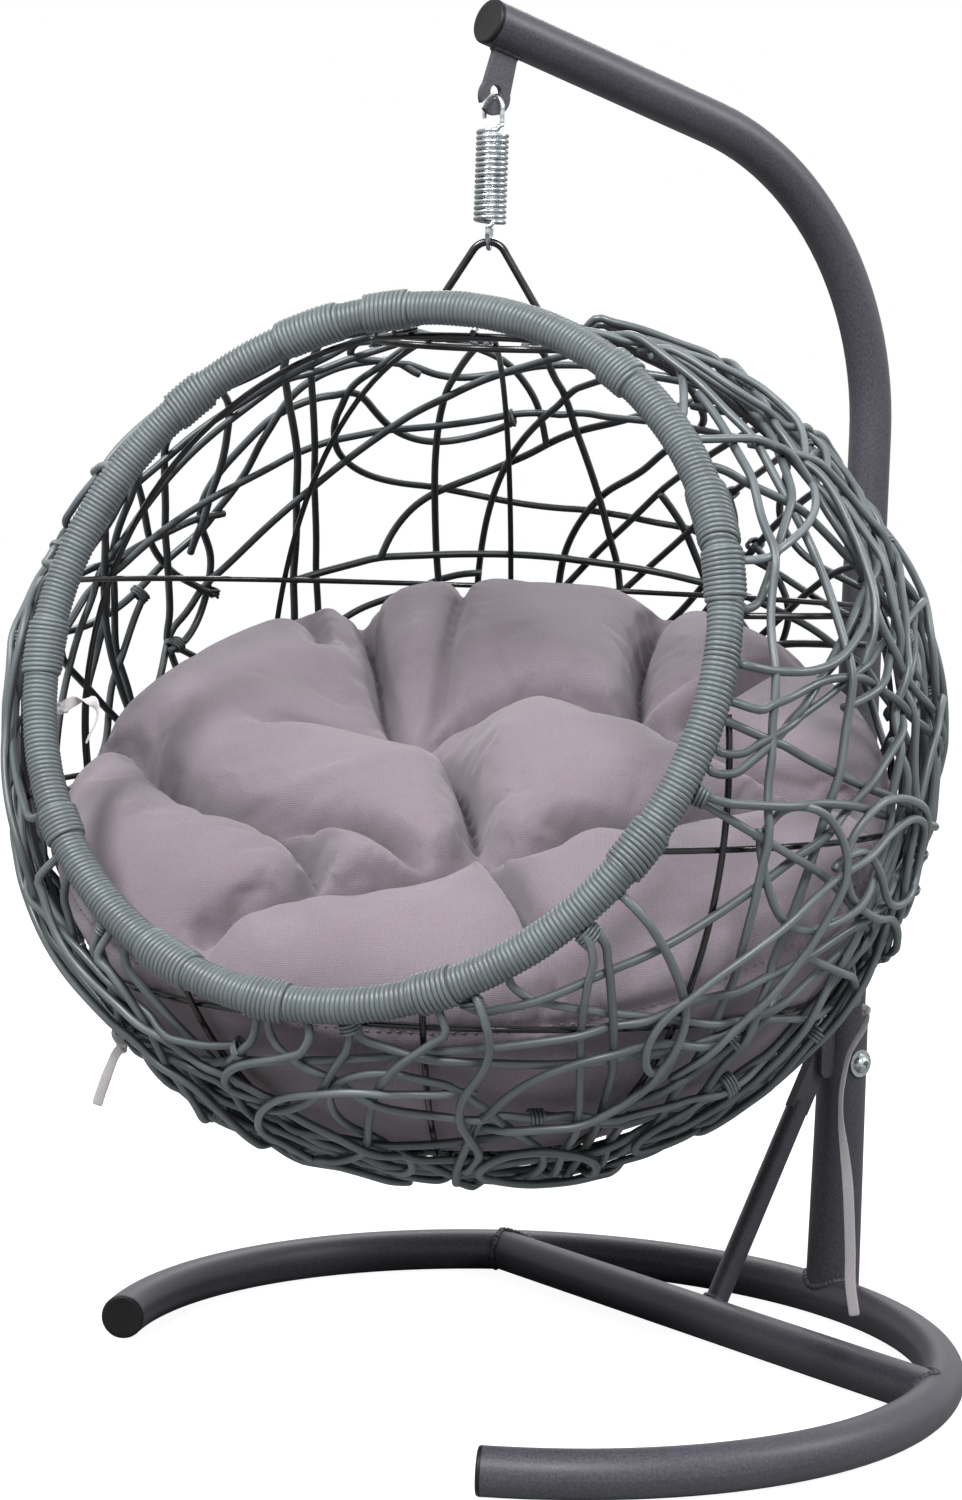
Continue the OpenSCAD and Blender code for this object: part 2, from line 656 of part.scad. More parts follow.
// Clear stretches of one plane, as [from, to] angles, found in steps round it
scan = 10;
function stretches(k, offset) = let(
    ok = [for (a = [0:scan:360]) is_clear(on_layer(k, offset, a))], n = 360 / scan)
    min([for (o = ok) o ? 1 : 0]) == 1 ? [[0, 360]]
    : [for (i = [0:n - 1]) if (!ok[i] && ok[i + 1])
        let(run = [for (j = [i + 1:i + n]) ok[j % n] ? 0 : 1], last = i + search(1, run)[0],
            a = edge_angle(k, offset, (i + 1) * scan, i * scan),
            b = edge_angle(k, offset, last * scan, (last + 1) * scan))
        if (b - a > 2 * end_gap) [a, b]];

// A strand as the arc through three points, of one diameter
module arc_through(p, q, r) {
    pq = q - p;
    pr = r - p;
    axis = cross(pq, pr);
    centre = p + (cross(axis, pq) * (pr * pr) + cross(pr, axis) * (pq * pq)) / (2 * (axis * axis));
    x = unit(p - centre);
    z = unit(axis);
    y = cross(z, x);
    radius = norm(p - centre);
    turn = acos(x * unit(q - centre)) + acos(unit(q - centre) * unit(r - centre));
    multmatrix([[x.x, y.x, z.x, centre.x], [x.y, y.y, z.y, centre.y], [x.z, y.z, z.z, centre.z], [0, 0, 0, 1]])
        rotate_extrude(angle = turn) translate([radius, 0]) circle(d = strand_d);
}

// A stretch in two where it passes the plane's lowest point, so that no strand spans it
function split_low(s) = let(low = s[0] < 270 ? 270 : 630)
    s[0] < low && low < s[1] ? [[s[0], low], [low, s[1]]] : [s];

module wicker_layer(k) {
    extent = layer_extent(k);
    planes = floor((extent - strand_pitch * 0.6) / strand_pitch);
    color(wicker) in_basket() for (j = [-planes - 1:planes]) {
        offset = (j + layer_shift[k]) * strand_pitch;
        gap = end_gap * extent / sqrt(extent * extent - offset * offset);
        if (abs(offset) < extent - strand_pitch * 0.6)
            for (whole = stretches(k, offset)) for (s = split_low(whole)) {
                parts = ceil((s[1] - s[0]) / strand_span);
                width = (s[1] - s[0]) / parts;
                for (i = [0:parts - 1]) {
                    from = s[0] + i * width + gap / 2;
                    to = s[0] + (i + 1) * width - gap / 2;
                    if (to > from + 1)
                        arc_through(on_layer(k, offset, from), on_layer(k, offset, (from + to) / 2),
                            on_layer(k, offset, to));
                }
            }
    }
}

module wicker_inner() {
    wicker_layer(0);
}

module wicker_middle() {
    wicker_layer(1);
}

module wicker_outer() {
    wicker_layer(2);
}

// ---- cushion ----

function cushion_dir(polar, turn) =
    -cushion_axis * cos(polar) + (cushion_u * cos(turn) + cushion_v * sin(turn)) * sin(polar);

// Distance from the basket's middle to the bowl, the rim's plane or the cushion's flat bottom
function bowl_reach(d) = let(
    bowl = oval_reach([0, 0, 0], d, bowl_r, bowl_r),
    toward = d * mouth_axis,
    front = toward > 0.05 ? (rim_out - rim_d / 2 - cushion_inset) / toward : bowl,
    low = d.z < -0.05 ? floor_z / d.z : bowl)
    min(bowl, front, low);

edge_polar = acos(cushion_drop / bowl_r);
function edge_point(turn) = let(d = cushion_dir(edge_polar, turn)) d * bowl_reach(d);
tuft_point = cushion_axis * (tuft_h - cushion_drop) - cushion_u * tuft_back - cushion_v * tuft_side;

// Height of the padded top over the straight line from the tufted middle to the edge
function fold(turn) = max([for (f = fold_turns) let(off = abs((turn - f + 540) % 360 - 180))
    off < fold_half ? pow(cos(90 * off / fold_half), 2) : 0]);
function crown(s, turn) = s < 0.06 ? 0
    : crown_h * sin(180 * pow((s - 0.06) / 0.94, 0.8)) - fold_d * fold(turn) * sin(180 * pow(s, 0.9));
function top_point(s, turn) = let(e = edge_point(turn))
    tuft_point * (1 - s) + e * s + cushion_axis * crown(s, turn);
function ring_share(i) = i == 1 ? button_flat_r / bowl_r : pow(i / cushion_top_rings, 0.9);
function low_point(t, turn) = let(d = cushion_dir(edge_polar * t, turn)) d * bowl_reach(d);
// The underside's flat dimple for the back button
dimple = bowl_reach(-cushion_axis) - button_h - 8;

module cushion() {
    turns = [for (k = [0:cushion_sectors - 1]) 360 * k / cushion_sectors];
    top = [for (i = [1:cushion_top_rings - 1]) for (a = turns)
        i == 1 ? tuft_point + (cushion_u * cos(a) + cushion_v * sin(a)) * button_flat_r
        : top_point(ring_share(i), a)];
    edge = [for (a = turns) edge_point(a)];
    low = [for (i = [1:cushion_low_rings - 1]) for (a = turns)
        i < cushion_low_rings - 1 ? low_point(1 - i / cushion_low_rings, a)
        : (cushion_u * cos(a) + cushion_v * sin(a)) * button_flat_r - cushion_axis * dimple];
    base_mid = -cushion_axis * dimple;
    points = concat([tuft_point], top, edge, low, [base_mid]);
    rows = cushion_top_rings + cushion_low_rings - 1;
    n = cushion_sectors;
    faces = concat(
        [for (k = [0:n - 1]) [0, 1 + (k + 1) % n, 1 + k]],
        [for (i = [0:rows - 2], k = [0:n - 1]) [1 + i * n + k, 1 + i * n + (k + 1) % n, 1 + (i + 1) * n + k]],
        [for (i = [0:rows - 2], k = [0:n - 1])
            [1 + i * n + (k + 1) % n, 1 + (i + 1) * n + (k + 1) % n, 1 + (i + 1) * n + k]],
        [for (k = [0:n - 1]) [1 + (rows - 1) * n + k, 1 + (rows - 1) * n + (k + 1) % n, 1 + rows * n]]);
    color(lilac) in_basket() polyhedron(points, faces, convexity = 6);
}

// A covered button, flat side at z = 0 and domed side up
module covered_button() {
    button_dome = (button_d * button_d / 4 + button_h * button_h) / (2 * button_h);
    intersection() {
        translate([0, 0, button_h - button_dome]) sphere(r = button_dome);
        cylinder(h = button_h, d = button_d);
    }
}

module on_cushion_axis() {
    rotate([0, 0, cushion_axis_turn]) rotate([cushion_tilt, 0, 0]) children();
}

module front_button() {
    color(lilac) in_basket() translate(tuft_point) on_cushion_axis() translate([0, 0, button_gap]) covered_button();
}

module back_button() {
    color(lilac) in_basket() on_cushion_axis() translate([0, 0, -dimple - button_gap]) mirror([0, 0, 1]) covered_button();
}

// ---- ties ----

module tie(route, across) {
    rings = [for (i = [0:len(route) - 1]) swept_ring(frame_r * route, i, across, tie_w, tie_t, 8)];
    color(ribbon) in_basket() polyhedron([for (r = rings) each r], swept_faces(len(route), 8), convexity = 6);
}

module tie_rim() {
    tie(tie_rim_route, [0.6, 0.8, 0]);
}

module tie_left() {
    tie(tie_left_route, [0.6, 0.8, 0]);
}

module tie_right() {
    tie(tie_right_route, [0.6, 0.8, 0]);
}

base_ring();
cross_brace();
base_caps();
lower_post();
strut();
strut_bracket();
pole_arm();
arm_cap();
hook_plate();
post_bolt();
bolt_washers();
bolt_nut();
upper_hook();
spring_coil();
lower_hook();
bail();
top_ring();
frame_ribs();
frame_hoops();
bottom_ring();
rim_tube();
rim_wrap();
wicker_inner();
wicker_middle();
wicker_outer();
cushion();
front_button();
back_button();
tie_rim();
tie_left();
tie_right();
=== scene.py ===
# %% [markdown]
# # A hanging egg chair for a small pet or a doll
#
# A round nest of grey resin wicker hangs from a coil spring on a one-armed steel stand, with a
# tufted cushion in it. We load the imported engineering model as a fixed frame, and then dress it:
# soft and woven pieces are made here and stand for the plain solids, and every bare metal piece
# keeps its solid and gets a finish. All lengths are metres, in the same place as the frame.

import math

import bpy
import numpy as np
from mathutils import Matrix, Vector
from mathutils.bvhtree import BVHTree
from mathutils.kdtree import KDTree


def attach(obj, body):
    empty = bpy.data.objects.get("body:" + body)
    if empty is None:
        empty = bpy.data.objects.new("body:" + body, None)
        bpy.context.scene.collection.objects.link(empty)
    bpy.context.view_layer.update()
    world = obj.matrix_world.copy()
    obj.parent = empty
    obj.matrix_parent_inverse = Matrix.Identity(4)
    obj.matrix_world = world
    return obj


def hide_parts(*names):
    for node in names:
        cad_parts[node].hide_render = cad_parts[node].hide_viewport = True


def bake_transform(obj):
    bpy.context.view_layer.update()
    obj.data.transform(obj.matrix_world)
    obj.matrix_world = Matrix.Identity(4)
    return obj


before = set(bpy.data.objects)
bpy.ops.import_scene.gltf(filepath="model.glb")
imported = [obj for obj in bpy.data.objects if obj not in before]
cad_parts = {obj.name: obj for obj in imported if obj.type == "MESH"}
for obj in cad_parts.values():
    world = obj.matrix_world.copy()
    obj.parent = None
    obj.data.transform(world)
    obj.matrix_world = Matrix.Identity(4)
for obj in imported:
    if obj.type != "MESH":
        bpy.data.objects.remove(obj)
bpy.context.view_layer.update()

MM = 0.001
TAU = 2 * math.pi
scene = bpy.context.scene


def unit(v):
    v = np.asarray(v, float)
    return v / np.linalg.norm(v)


# %% [markdown]
# ## Camera
#
# The camera stands about two metres away, a little above the nest's middle, and looks in through
# the mouth. A long lens keeps the stand's uprights nearly parallel, and a roll of two degrees
# tips them a little to the right.

# %% Camera
def put(name, data):
    """Puts a new object with this data into the scene."""
    thing = bpy.data.objects.new(name, data)
    scene.collection.objects.link(thing)
    return thing


EYE = np.array([1.6333, -1.3190, 0.5810])
PITCH, ROLL = math.radians(4.417), math.radians(2.028)
level = unit([-0.791, 0.612, 0])
ahead = level * math.cos(PITCH) - np.array([0, 0, math.sin(PITCH)])
right = np.array([level[1], -level[0], 0])
upward = np.cross(right, ahead)
cam_right = right * math.cos(ROLL) + upward * math.sin(ROLL)
cam_up = upward * math.cos(ROLL) - right * math.sin(ROLL)
lens = bpy.data.cameras.new("camera")
lens.lens, lens.sensor_width = 75.77, 36
lens.clip_start, lens.clip_end = 0.05, 60
camera = put("camera", lens)
camera.matrix_world = Matrix(np.column_stack([cam_right, cam_up, -ahead]).tolist()).to_4x4()
camera.matrix_world.translation = Vector(EYE)
scene.camera = camera
print("camera at", EYE.tolist(), "lens", lens.lens, "mm")


# %% [markdown]
# ## Lines into tubes
#
# Nearly everything here is a round strand: wicker, wire, thread and weld bead. One helper carries
# a ring of points along a line. Each ring's frame is turned from the last one by as little as
# possible, so the strand doesn't twist. Each point keeps two things for the finishes: a tone, so
# that no two strands are quite the same grey, and a grain coordinate that runs along the strand.

# %% Tube helper
CUT_BACK, CUT_WIDTH = 0.25, 0.76      # a cut end's rounded edge, as shares of the strand's radius
GRAIN_R = 0.003                       # the grain coordinate's radius round any strand


def run_along(line):
    """The distance run along a line up to each of its points."""
    return np.concatenate([[0], np.cumsum(np.linalg.norm(np.diff(line, axis=0), axis=1))])


class Mesh:
    """Collects points and faces of one piece, with the tone and grain of each point."""

    def __init__(self):
        self.points, self.faces, self.tone, self.grain, self.count = [], [], [], [], 0

    def add(self, points, faces, tone=0.5, grain=None):
        points = np.asarray(points, float)
        self.points.append(points)
        self.faces.extend([[i + self.count for i in f] for f in faces])
        self.tone.append(np.broadcast_to(np.asarray(tone, float), (len(points),)))
        self.grain.append(np.zeros((len(points), 3)) if grain is None else grain)
        self.count += len(points)

    def make(self, name, material):
        mesh = bpy.data.meshes.new(name)
        mesh.from_pydata(np.concatenate(self.points).tolist(), [], self.faces)
        mesh.attributes.new("tone", "FLOAT", "POINT").data.foreach_set(
            "value", np.concatenate(self.tone).astype(np.float32))
        mesh.attributes.new("grain", "FLOAT_VECTOR", "POINT").data.foreach_set(
            "vector", np.concatenate(self.grain).astype(np.float32).ravel())
        mesh.polygons.foreach_set("use_smooth", [True] * len(mesh.polygons))
        mesh.materials.append(material)
        mesh.update()
        return put(name, mesh)


def sweep(mesh, line, radius, sides=8, tone=0.5, flat=None, ends=True, start=0.0):
    """A tube along a line. flat gives (across, thickness share) for a ribbon's oval section."""
    line = np.asarray(line, float)
    n = len(line)
    forward = np.gradient(line, axis=0)
    forward /= np.linalg.norm(forward, axis=1)[:, None]
    radius = np.broadcast_to(np.asarray(radius, float), (n,)).copy()
    side = np.cross(forward[0], [0.3, 0.5, 0.81])
    across = np.empty_like(line)
    for i in range(n):
        if flat is not None:
            side = flat[0][i]
        side = side - forward[i] * (side @ forward[i])
        side = side / np.linalg.norm(side)
        across[i] = side
    other = np.cross(forward, across)
    run = run_along(line) + start
    if ends:                                  # a small round edge at both cut ends
        lip = radius[0] * CUT_BACK
        line = np.vstack([line[0] - forward[0] * 1e-5, line[0] + forward[0] * lip, line[1:-1],
                          line[-1] - forward[-1] * lip, line[-1] + forward[-1] * 1e-5])
        twice = [0, *range(n), n - 1]
        across, other, run = across[twice], other[twice], run[twice]
        radius = np.concatenate([[radius[0] * CUT_WIDTH], radius, [radius[-1] * CUT_WIDTH]])
        n += 2
    turn = np.arange(sides) * TAU / sides
    thin = 1.0 if flat is None else flat[1]
    ring = (np.cos(turn)[None, :, None] * across[:, None, :]
            + thin * np.sin(turn)[None, :, None] * other[:, None, :])
    points = (line[:, None, :] + radius[:, None, None] * ring).reshape(-1, 3)
    grain = np.stack([np.tile(np.cos(turn), n) * GRAIN_R, np.tile(np.sin(turn), n) * GRAIN_R,
                      np.repeat(run, sides)], 1)
    a = (np.arange(n - 1)[:, None] * sides + np.arange(sides)[None, :]).ravel()
    b = (np.arange(n - 1)[:, None] * sides + (np.arange(sides) + 1)[None, :] % sides).ravel()
    faces = np.stack([a, b, b + sides, a + sides], 1).tolist()
    if ends:
        faces += [list(range(sides))[::-1], list(range((n - 1) * sides, n * sides))]
    mesh.add(points, faces, tone, grain)


def spline(points, step):
    """Evenly spaced points on a smooth curve through the given ones."""
    p = np.asarray(points, float)
    q = np.vstack([2 * p[0] - p[1], p, 2 * p[-1] - p[-2]])
    t = np.linspace(0, 1, 12, endpoint=False)[:, None]
    out = [0.5 * (2 * q[i] + (q[i + 1] - q[i - 1]) * t
                  + (2 * q[i - 1] - 5 * q[i] + 4 * q[i + 1] - q[i + 2]) * t ** 2
                  + (3 * q[i] - q[i - 1] - 3 * q[i + 1] + q[i + 2]) * t ** 3)
           for i in range(1, len(q) - 2)]
    fine = np.vstack(out + [p[-1:]])
    run = run_along(fine)
    at = np.linspace(0, run[-1], max(4, int(run[-1] / step) + 1))
    return np.stack([np.interp(at, run, fine[:, k]) for k in range(3)], 1)


# %% [markdown]
# ## Colours and nodes
#
# Colours are written as sRGB hex, as a paint card gives them. Shaders calculate in linear light,
# so one function converts them. One small function adds a node with its settings and its links,
# and the part of it that fills sockets also fills those of the shader itself. Every finish but
# the zinc is a plastic or an enamel, whose index of refraction is close to 1.5. That is what the
# shader has from the start, so it stays.

# %% Colour and node helpers
def linear(hex_colour):
    parts = [int(hex_colour[i:i + 2], 16) / 255 for i in (1, 3, 5)]
    return [p / 12.92 if p <= 0.04045 else ((p + 0.055) / 1.055) ** 2.4 for p in parts] + [1.0]


def fill(tree, node, inputs):
    """Gives each input socket a value, or a link from another node's output."""
    for key, value in inputs.items():
        if isinstance(value, bpy.types.NodeSocket):
            tree.links.new(value, node.inputs[key])
        else:
            node.inputs[key].default_value = value


def add(tree, kind, inputs=None, stops=(), **settings):
    """Adds a node, and gives its outputs. stops are a colour ramp's two places with their hex
    colours or their numbers."""
    node = tree.nodes.new("ShaderNode" + kind)
    for key, value in settings.items():
        setattr(node, key, value)
    for element, (place, colour) in zip(node.color_ramp.elements if stops else (), stops):
        element.position = place
        element.color = linear(colour) if isinstance(colour, str) else [colour] * 3 + [1.0]
    fill(tree, node, inputs or {})
    return node.outputs


def finish_named(name):
    for old in [m for m in bpy.data.materials if m.name == name]:
        old.name = "plain_" + name          # the frame's own grey of the same name makes room
    material = bpy.data.materials.new(name)
    material.use_nodes = True
    return material, material.node_tree, material.node_tree.nodes["Principled BSDF"]


# %% [markdown]
# ## Powder-coated steel
#
# The stand's tubes are sprayed with dry polyester powder and baked. The powder melts into a fine
# leathery texture with grains about a millimetre across, so highlights are broad and a little
# broken. The caps in the tubes' ends are injection-moulded polyethylene: black, with a soft shine
# and a faint pebble from the mould.

# %% Powder-coated steel and its plastic caps
def powder_coated_steel():
    material, tree, skin = finish_named("powder_coated_steel")
    spot = add(tree, "TexCoord")["Object"]
    # slow drifts of tone over a decimetre, and grains of about 1.5 mm
    cloud = add(tree, "TexNoise", {"Vector": spot, "Scale": 9, "Detail": 3})[0]
    grit = add(tree, "TexNoise", {"Vector": spot, "Scale": 620, "Roughness": 0.6})[0]
    coat = add(tree, "ValToRGB", {0: cloud}, [(0.3, "#393840"), (0.7, "#45444c")])[0]
    specks = add(tree, "ValToRGB", {0: grit}, [(0.35, "#2c2b31"), (0.65, "#5a5962")])[0]
    fill(tree, skin, {
        "Base Color": add(tree, "Mix", {0: 0.35, 6: coat, 7: specks}, data_type="RGBA")[2],
        "Roughness": add(tree, "ValToRGB", {0: grit}, [(0.3, 0.38), (0.7, 0.52)])[0],
        "Normal": add(tree, "Bump", {"Height": grit, "Distance": 0.00022, "Strength": 0.5})[0],
        "Specular IOR Level": 0.36})
    return material


def moulded_cap_plastic():
    material, tree, skin = finish_named("moulded_black_polyethylene")
    spot = add(tree, "TexCoord")["Object"]
    cloud = add(tree, "TexNoise", {"Vector": spot, "Scale": 60})[0]
    pebble = add(tree, "TexNoise", {"Vector": spot, "Scale": 900})[0]       # a millimetre wide
    fill(tree, skin, {
        "Base Color": add(tree, "ValToRGB", {0: cloud}, [(0.3, "#101012"), (0.7, "#19191c")])[0],
        "Roughness": add(tree, "ValToRGB", {0: pebble}, [(0.3, 0.36), (0.7, 0.5)])[0],
        "Normal": add(tree, "Bump", {"Height": pebble, "Distance": 0.0001, "Strength": 0.4})[0],
        "Specular IOR Level": 0.22})
    return material


# %% [markdown]
# ## Bright zinc and black enamel
#
# Spring wire and the bolt are zinc plated: a metal surface, slightly blue, with faint streaks
# from the bath. The nest's rods are dipped in black enamel, which is glossy and runs smooth.

# %% Zinc and enamel
def zinc_plated_steel():
    material, tree, skin = finish_named("zinc_plated_steel")
    spot = add(tree, "TexCoord")["Object"]
    stretched = add(tree, "Mapping", {"Vector": spot, "Scale": (1, 1, 5)})[0]
    streak = add(tree, "TexNoise", {"Vector": stretched, "Scale": 160, "Detail": 3})[0]
    fine = add(tree, "TexNoise", {"Vector": spot, "Scale": 1400, "Detail": 1})[0]
    fill(tree, skin, {
        "Base Color": add(tree, "ValToRGB", {0: streak}, [(0.3, "#9ea5a8"), (0.7, "#cbd1d3")])[0],
        "Roughness": add(tree, "ValToRGB", {0: streak}, [(0.3, 0.2), (0.7, 0.34)])[0],
        "Normal": add(tree, "Bump", {"Height": fine, "Distance": 0.00006, "Strength": 0.3})[0],
        "Metallic": 1.0})
    return material


def black_enamel():
    material, tree, skin = finish_named("black_enamel_on_steel_rod")
    spot = add(tree, "TexCoord")["Object"]
    runs = add(tree, "TexNoise", {"Vector": spot, "Scale": 70})[0]          # drips of 1 to 2 cm
    fill(tree, skin, {
        "Base Color": add(tree, "ValToRGB", {0: runs}, [(0.3, "#0e0f10"), (0.7, "#1b1c1e")])[0],
        "Roughness": add(tree, "ValToRGB", {0: runs}, [(0.3, 0.14), (0.7, 0.26)])[0],
        "Normal": add(tree, "Bump", {"Height": runs, "Distance": 0.0004, "Strength": 0.25})[0]})
    return material


# %% [markdown]
# ## Resin wicker
#
# Round polyethylene strand, coloured right through and pushed hot through a die. The die leaves
# fine lines along it, and handling leaves it softly shiny. Batches differ, so each strand has a
# tone of its own. The sides that face into the nest are painted darker, as painted shade: for
# that, the way a surface faces is set against the way out from the nest's middle.

# %% Resin wicker
HANG = -63.5                                    # the spring's place, front to back, in mm
NEST = np.array([0, HANG, 427.55]) * MM         # the nest's middle
OVERLAY = {"data_type": "RGBA", "blend_type": "OVERLAY"}


def resin_wicker(name, dark, light, painted_inward_shade):
    material, tree, skin = finish_named(name)
    grain = add(tree, "Attribute", attribute_name="grain")["Vector"]
    tone = add(tree, "Attribute", attribute_name="tone")["Fac"]
    spot = add(tree, "TexCoord")["Object"]
    # the die's lines, drawn 0.6 mm wide so that they show, and drifts of tone over 3 to 4 cm
    drawn = add(tree, "Mapping", {"Vector": grain, "Scale": (1, 1, 0.03)})[0]
    lines = add(tree, "TexNoise", {"Vector": drawn, "Scale": 1500})[0]
    blotch = add(tree, "TexNoise", {"Vector": spot, "Scale": 28, "Detail": 3})[0]
    fine = add(tree, "ValToRGB", {0: lines}, [(0.3, "#565656"), (0.7, "#a9a9a9")])[0]
    wide = add(tree, "ValToRGB", {0: blotch}, [(0.35, "#606060"), (0.65, "#9a9a9a")])[0]
    colour = add(tree, "Mix", {0: tone, 6: linear(dark), 7: linear(light)}, data_type="RGBA")[2]
    colour = add(tree, "Mix", {0: 0.5, 6: colour, 7: fine}, **OVERLAY)[2]
    colour = add(tree, "Mix", {0: 0.25, 6: colour, 7: wide}, **OVERLAY)[2]
    # painted shade: sides that face into the nest take the darker colour
    if painted_inward_shade:
        out = add(tree, "VectorMath", {0: spot, 1: NEST}, operation="SUBTRACT")[0]
        out = add(tree, "VectorMath", {0: out}, operation="NORMALIZE")[0]
        normal = add(tree, "TexCoord")["Normal"]
        facing = add(tree, "VectorMath", {0: out, 1: normal}, operation="DOT_PRODUCT")["Value"]
        facing = add(tree, "Math", {0: facing, 1: 0.5, 2: 0.5}, operation="MULTIPLY_ADD")[0]
        painted_shade = add(tree, "ValToRGB", {0: facing}, [(0.0, painted_inward_shade), (0.75, "#ffffff")])[0]
        colour = add(tree, "Mix", {0: 1.0, 6: colour, 7: painted_shade}, data_type="RGBA",
                     blend_type="MULTIPLY")[2]
    fill(tree, skin, {
        "Base Color": colour,
        "Roughness": add(tree, "ValToRGB", {0: blotch}, [(0.3, 0.32), (0.7, 0.46)])[0],
        "Normal": add(tree, "Bump", {"Height": lines, "Distance": 0.00018, "Strength": 0.5})[0]})
    return material


# %% [markdown]
# ## Cushion cloth, thread and ribbon
#
# The cover is a plain woven polyester, mauve grey. Its threads are about 0.6 mm apart, drawn at
# 1.3 mm so that they show. Threads run along the three axes, and each set fades where the surface
# turns to face along it. A little sheen stands for the fuzz of the yarn. In a crease the cloth is
# painted darker, as painted shade, by a share that the cushion keeps at each point.

# %% Cloth, thread and ribbon
ASKEW = (0.25, 0.3, 0.7)                        # the threads' turn from the axes


def woven_cloth(name, dark, light, pitch_mm, depth):
    material, tree, skin = finish_named(name)
    spot = add(tree, "TexCoord")["Object"]
    normal = add(tree, "TexCoord")["Normal"]
    # no thread is quite straight: each strays by up to 4 mm over 3 cm
    stray = add(tree, "TexNoise", {"Vector": spot, "Scale": 30.0})["Color"]
    stray = add(tree, "VectorMath", {0: stray, 1: (0.004, 0.004, 0.004)}, operation="MULTIPLY")[0]
    wavy = add(tree, "VectorMath", {0: spot, 1: stray}, operation="ADD")[0]
    turned = [add(tree, "Mapping", {"Vector": v, "Rotation": ASKEW})[0] for v in (wavy, normal)]
    parts, sides = (add(tree, "SeparateXYZ", {0: v}) for v in turned)
    threads = 0.0
    for part, side in zip(parts, sides):
        wave = add(tree, "Math", {0: part, 1: TAU / (pitch_mm * MM)}, operation="MULTIPLY")[0]
        wave = add(tree, "Math", {0: wave}, operation="SINE")[0]
        away = add(tree, "Math", {0: side, 1: side}, operation="MULTIPLY")[0]
        away = add(tree, "Math", {0: 1.0, 1: away}, operation="SUBTRACT")[0]
        away = add(tree, "Math", {0: away, 1: 3.0}, operation="POWER")[0]
        threads = add(tree, "Math", {0: wave, 1: away, 2: threads}, operation="MULTIPLY_ADD")[0]
    threads = add(tree, "Math", {0: threads, 1: 0.25, 2: 0.5}, operation="MULTIPLY_ADD")[0]
    heather = add(tree, "TexNoise", {"Vector": spot, "Scale": 900, "Roughness": 0.7})[0]
    cloud = add(tree, "TexNoise", {"Vector": spot, "Scale": 7, "Detail": 3})[0]
    weave = add(tree, "ValToRGB", {0: threads}, [(0.1, "#5c5c5c"), (0.9, "#a4a4a4")])[0]
    flecks = add(tree, "ValToRGB", {0: heather}, [(0.3, "#5e5e5e"), (0.7, "#a2a2a2")])[0]
    # painted shade: the cloth darkens towards #2b262b by the share kept in each crease
    fold = add(tree, "Attribute", attribute_name="fold")["Fac"]
    colour = add(tree, "ValToRGB", {0: cloud}, [(0.3, dark), (0.7, light)])[0]
    colour = add(tree, "Mix", {0: 0.3, 6: colour, 7: weave}, **OVERLAY)[2]
    colour = add(tree, "Mix", {0: 0.35, 6: colour, 7: flecks}, **OVERLAY)[2]
    colour = add(tree, "Mix", {0: fold, 6: colour, 7: linear("#2b262b")}, data_type="RGBA")[2]
    height = add(tree, "Math", {0: heather, 1: 0.5, 2: threads}, operation="MULTIPLY_ADD")[0]
    fill(tree, skin, {
        "Base Color": colour,
        "Normal": add(tree, "Bump", {"Height": height, "Distance": depth, "Strength": 0.6})[0],
        "Roughness": 0.88, "Sheen Weight": 0.25, "Sheen Roughness": 0.5,
        "Specular IOR Level": 0.25})
    return material


steel = powder_coated_steel()
cap_plastic = moulded_cap_plastic()
zinc = zinc_plated_steel()
enamel = black_enamel()
# the last colour is the painted shade on the wicker's sides that face into the nest
wicker = resin_wicker("extruded_resin_wicker", "#5f686a", "#838c90", "#4e5254")
wound = resin_wicker("extruded_resin_binding", "#687174", "#848d90", None)
cloth = woven_cloth("woven_polyester_cover", "#90848e", "#a0949e", 1.3, 0.0004)
tape = woven_cloth("woven_polyester_tape", "#c6c3c5", "#dedbdd", 1.1, 0.0002)
thread = woven_cloth("polyester_sewing_thread", "#8a7f89", "#9c919b", 0.6, 0.0001)

BARE = ((steel, "base_ring cross_brace lower_post strut strut_bracket pole_arm hook_plate"),
        (zinc, "post_bolt bolt_washers bolt_nut upper_hook lower_hook"),
        (enamel, "bail top_ring frame_ribs frame_hoops bottom_ring rim_tube"))


def place(piece, body, *nodes):
    """Makes a piece ride on a body, and stand for CAD nodes."""
    if nodes:
        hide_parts(*nodes)
    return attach(piece, body) if body else piece


for material, names in BARE:
    for name in names.split():
        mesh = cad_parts[name].data
        mesh.materials.clear()
        mesh.materials.append(material)
print(len(bpy.data.materials), "finishes")

# %% [markdown]
# ## The nest's measures
#
# The nest is a sphere with a narrow waist put in: its ribs are arcs of one radius, bent about
# points on a small circle round the upright axis. A point's distance from that circle tells how
# far out it lies. The mouth is a round rim in a tilted plane.

# %% Nest measures
RIB, WAIST = 268 * MM, 23 * MM
MOUTH_TURN, MOUTH_TILT = math.radians(29.2), math.radians(21.4)
MOUTH = np.array([math.sin(MOUTH_TURN) * math.cos(MOUTH_TILT),
                  -math.cos(MOUTH_TURN) * math.cos(MOUTH_TILT), math.sin(MOUTH_TILT)])
MOUTH_SIDE = np.array([math.cos(MOUTH_TURN), math.sin(MOUTH_TURN), 0])
MOUTH_UP = np.cross(MOUTH, MOUTH_SIDE)
RIM = 223 * MM
RIM_OUT, RIM_SIDE = 185, 5                      # from the nest's middle to the rim's, in mm
RIM_MIDDLE = NEST + MOUTH * RIM_OUT * MM + MOUTH_SIDE * RIM_SIDE * MM
WRAP = 11 * MM                                  # the outside of the rim's winding
TOP_RING, TOP_RING_Z = 72 * MM, 258.8 * MM      # its radius, and its height over the middle


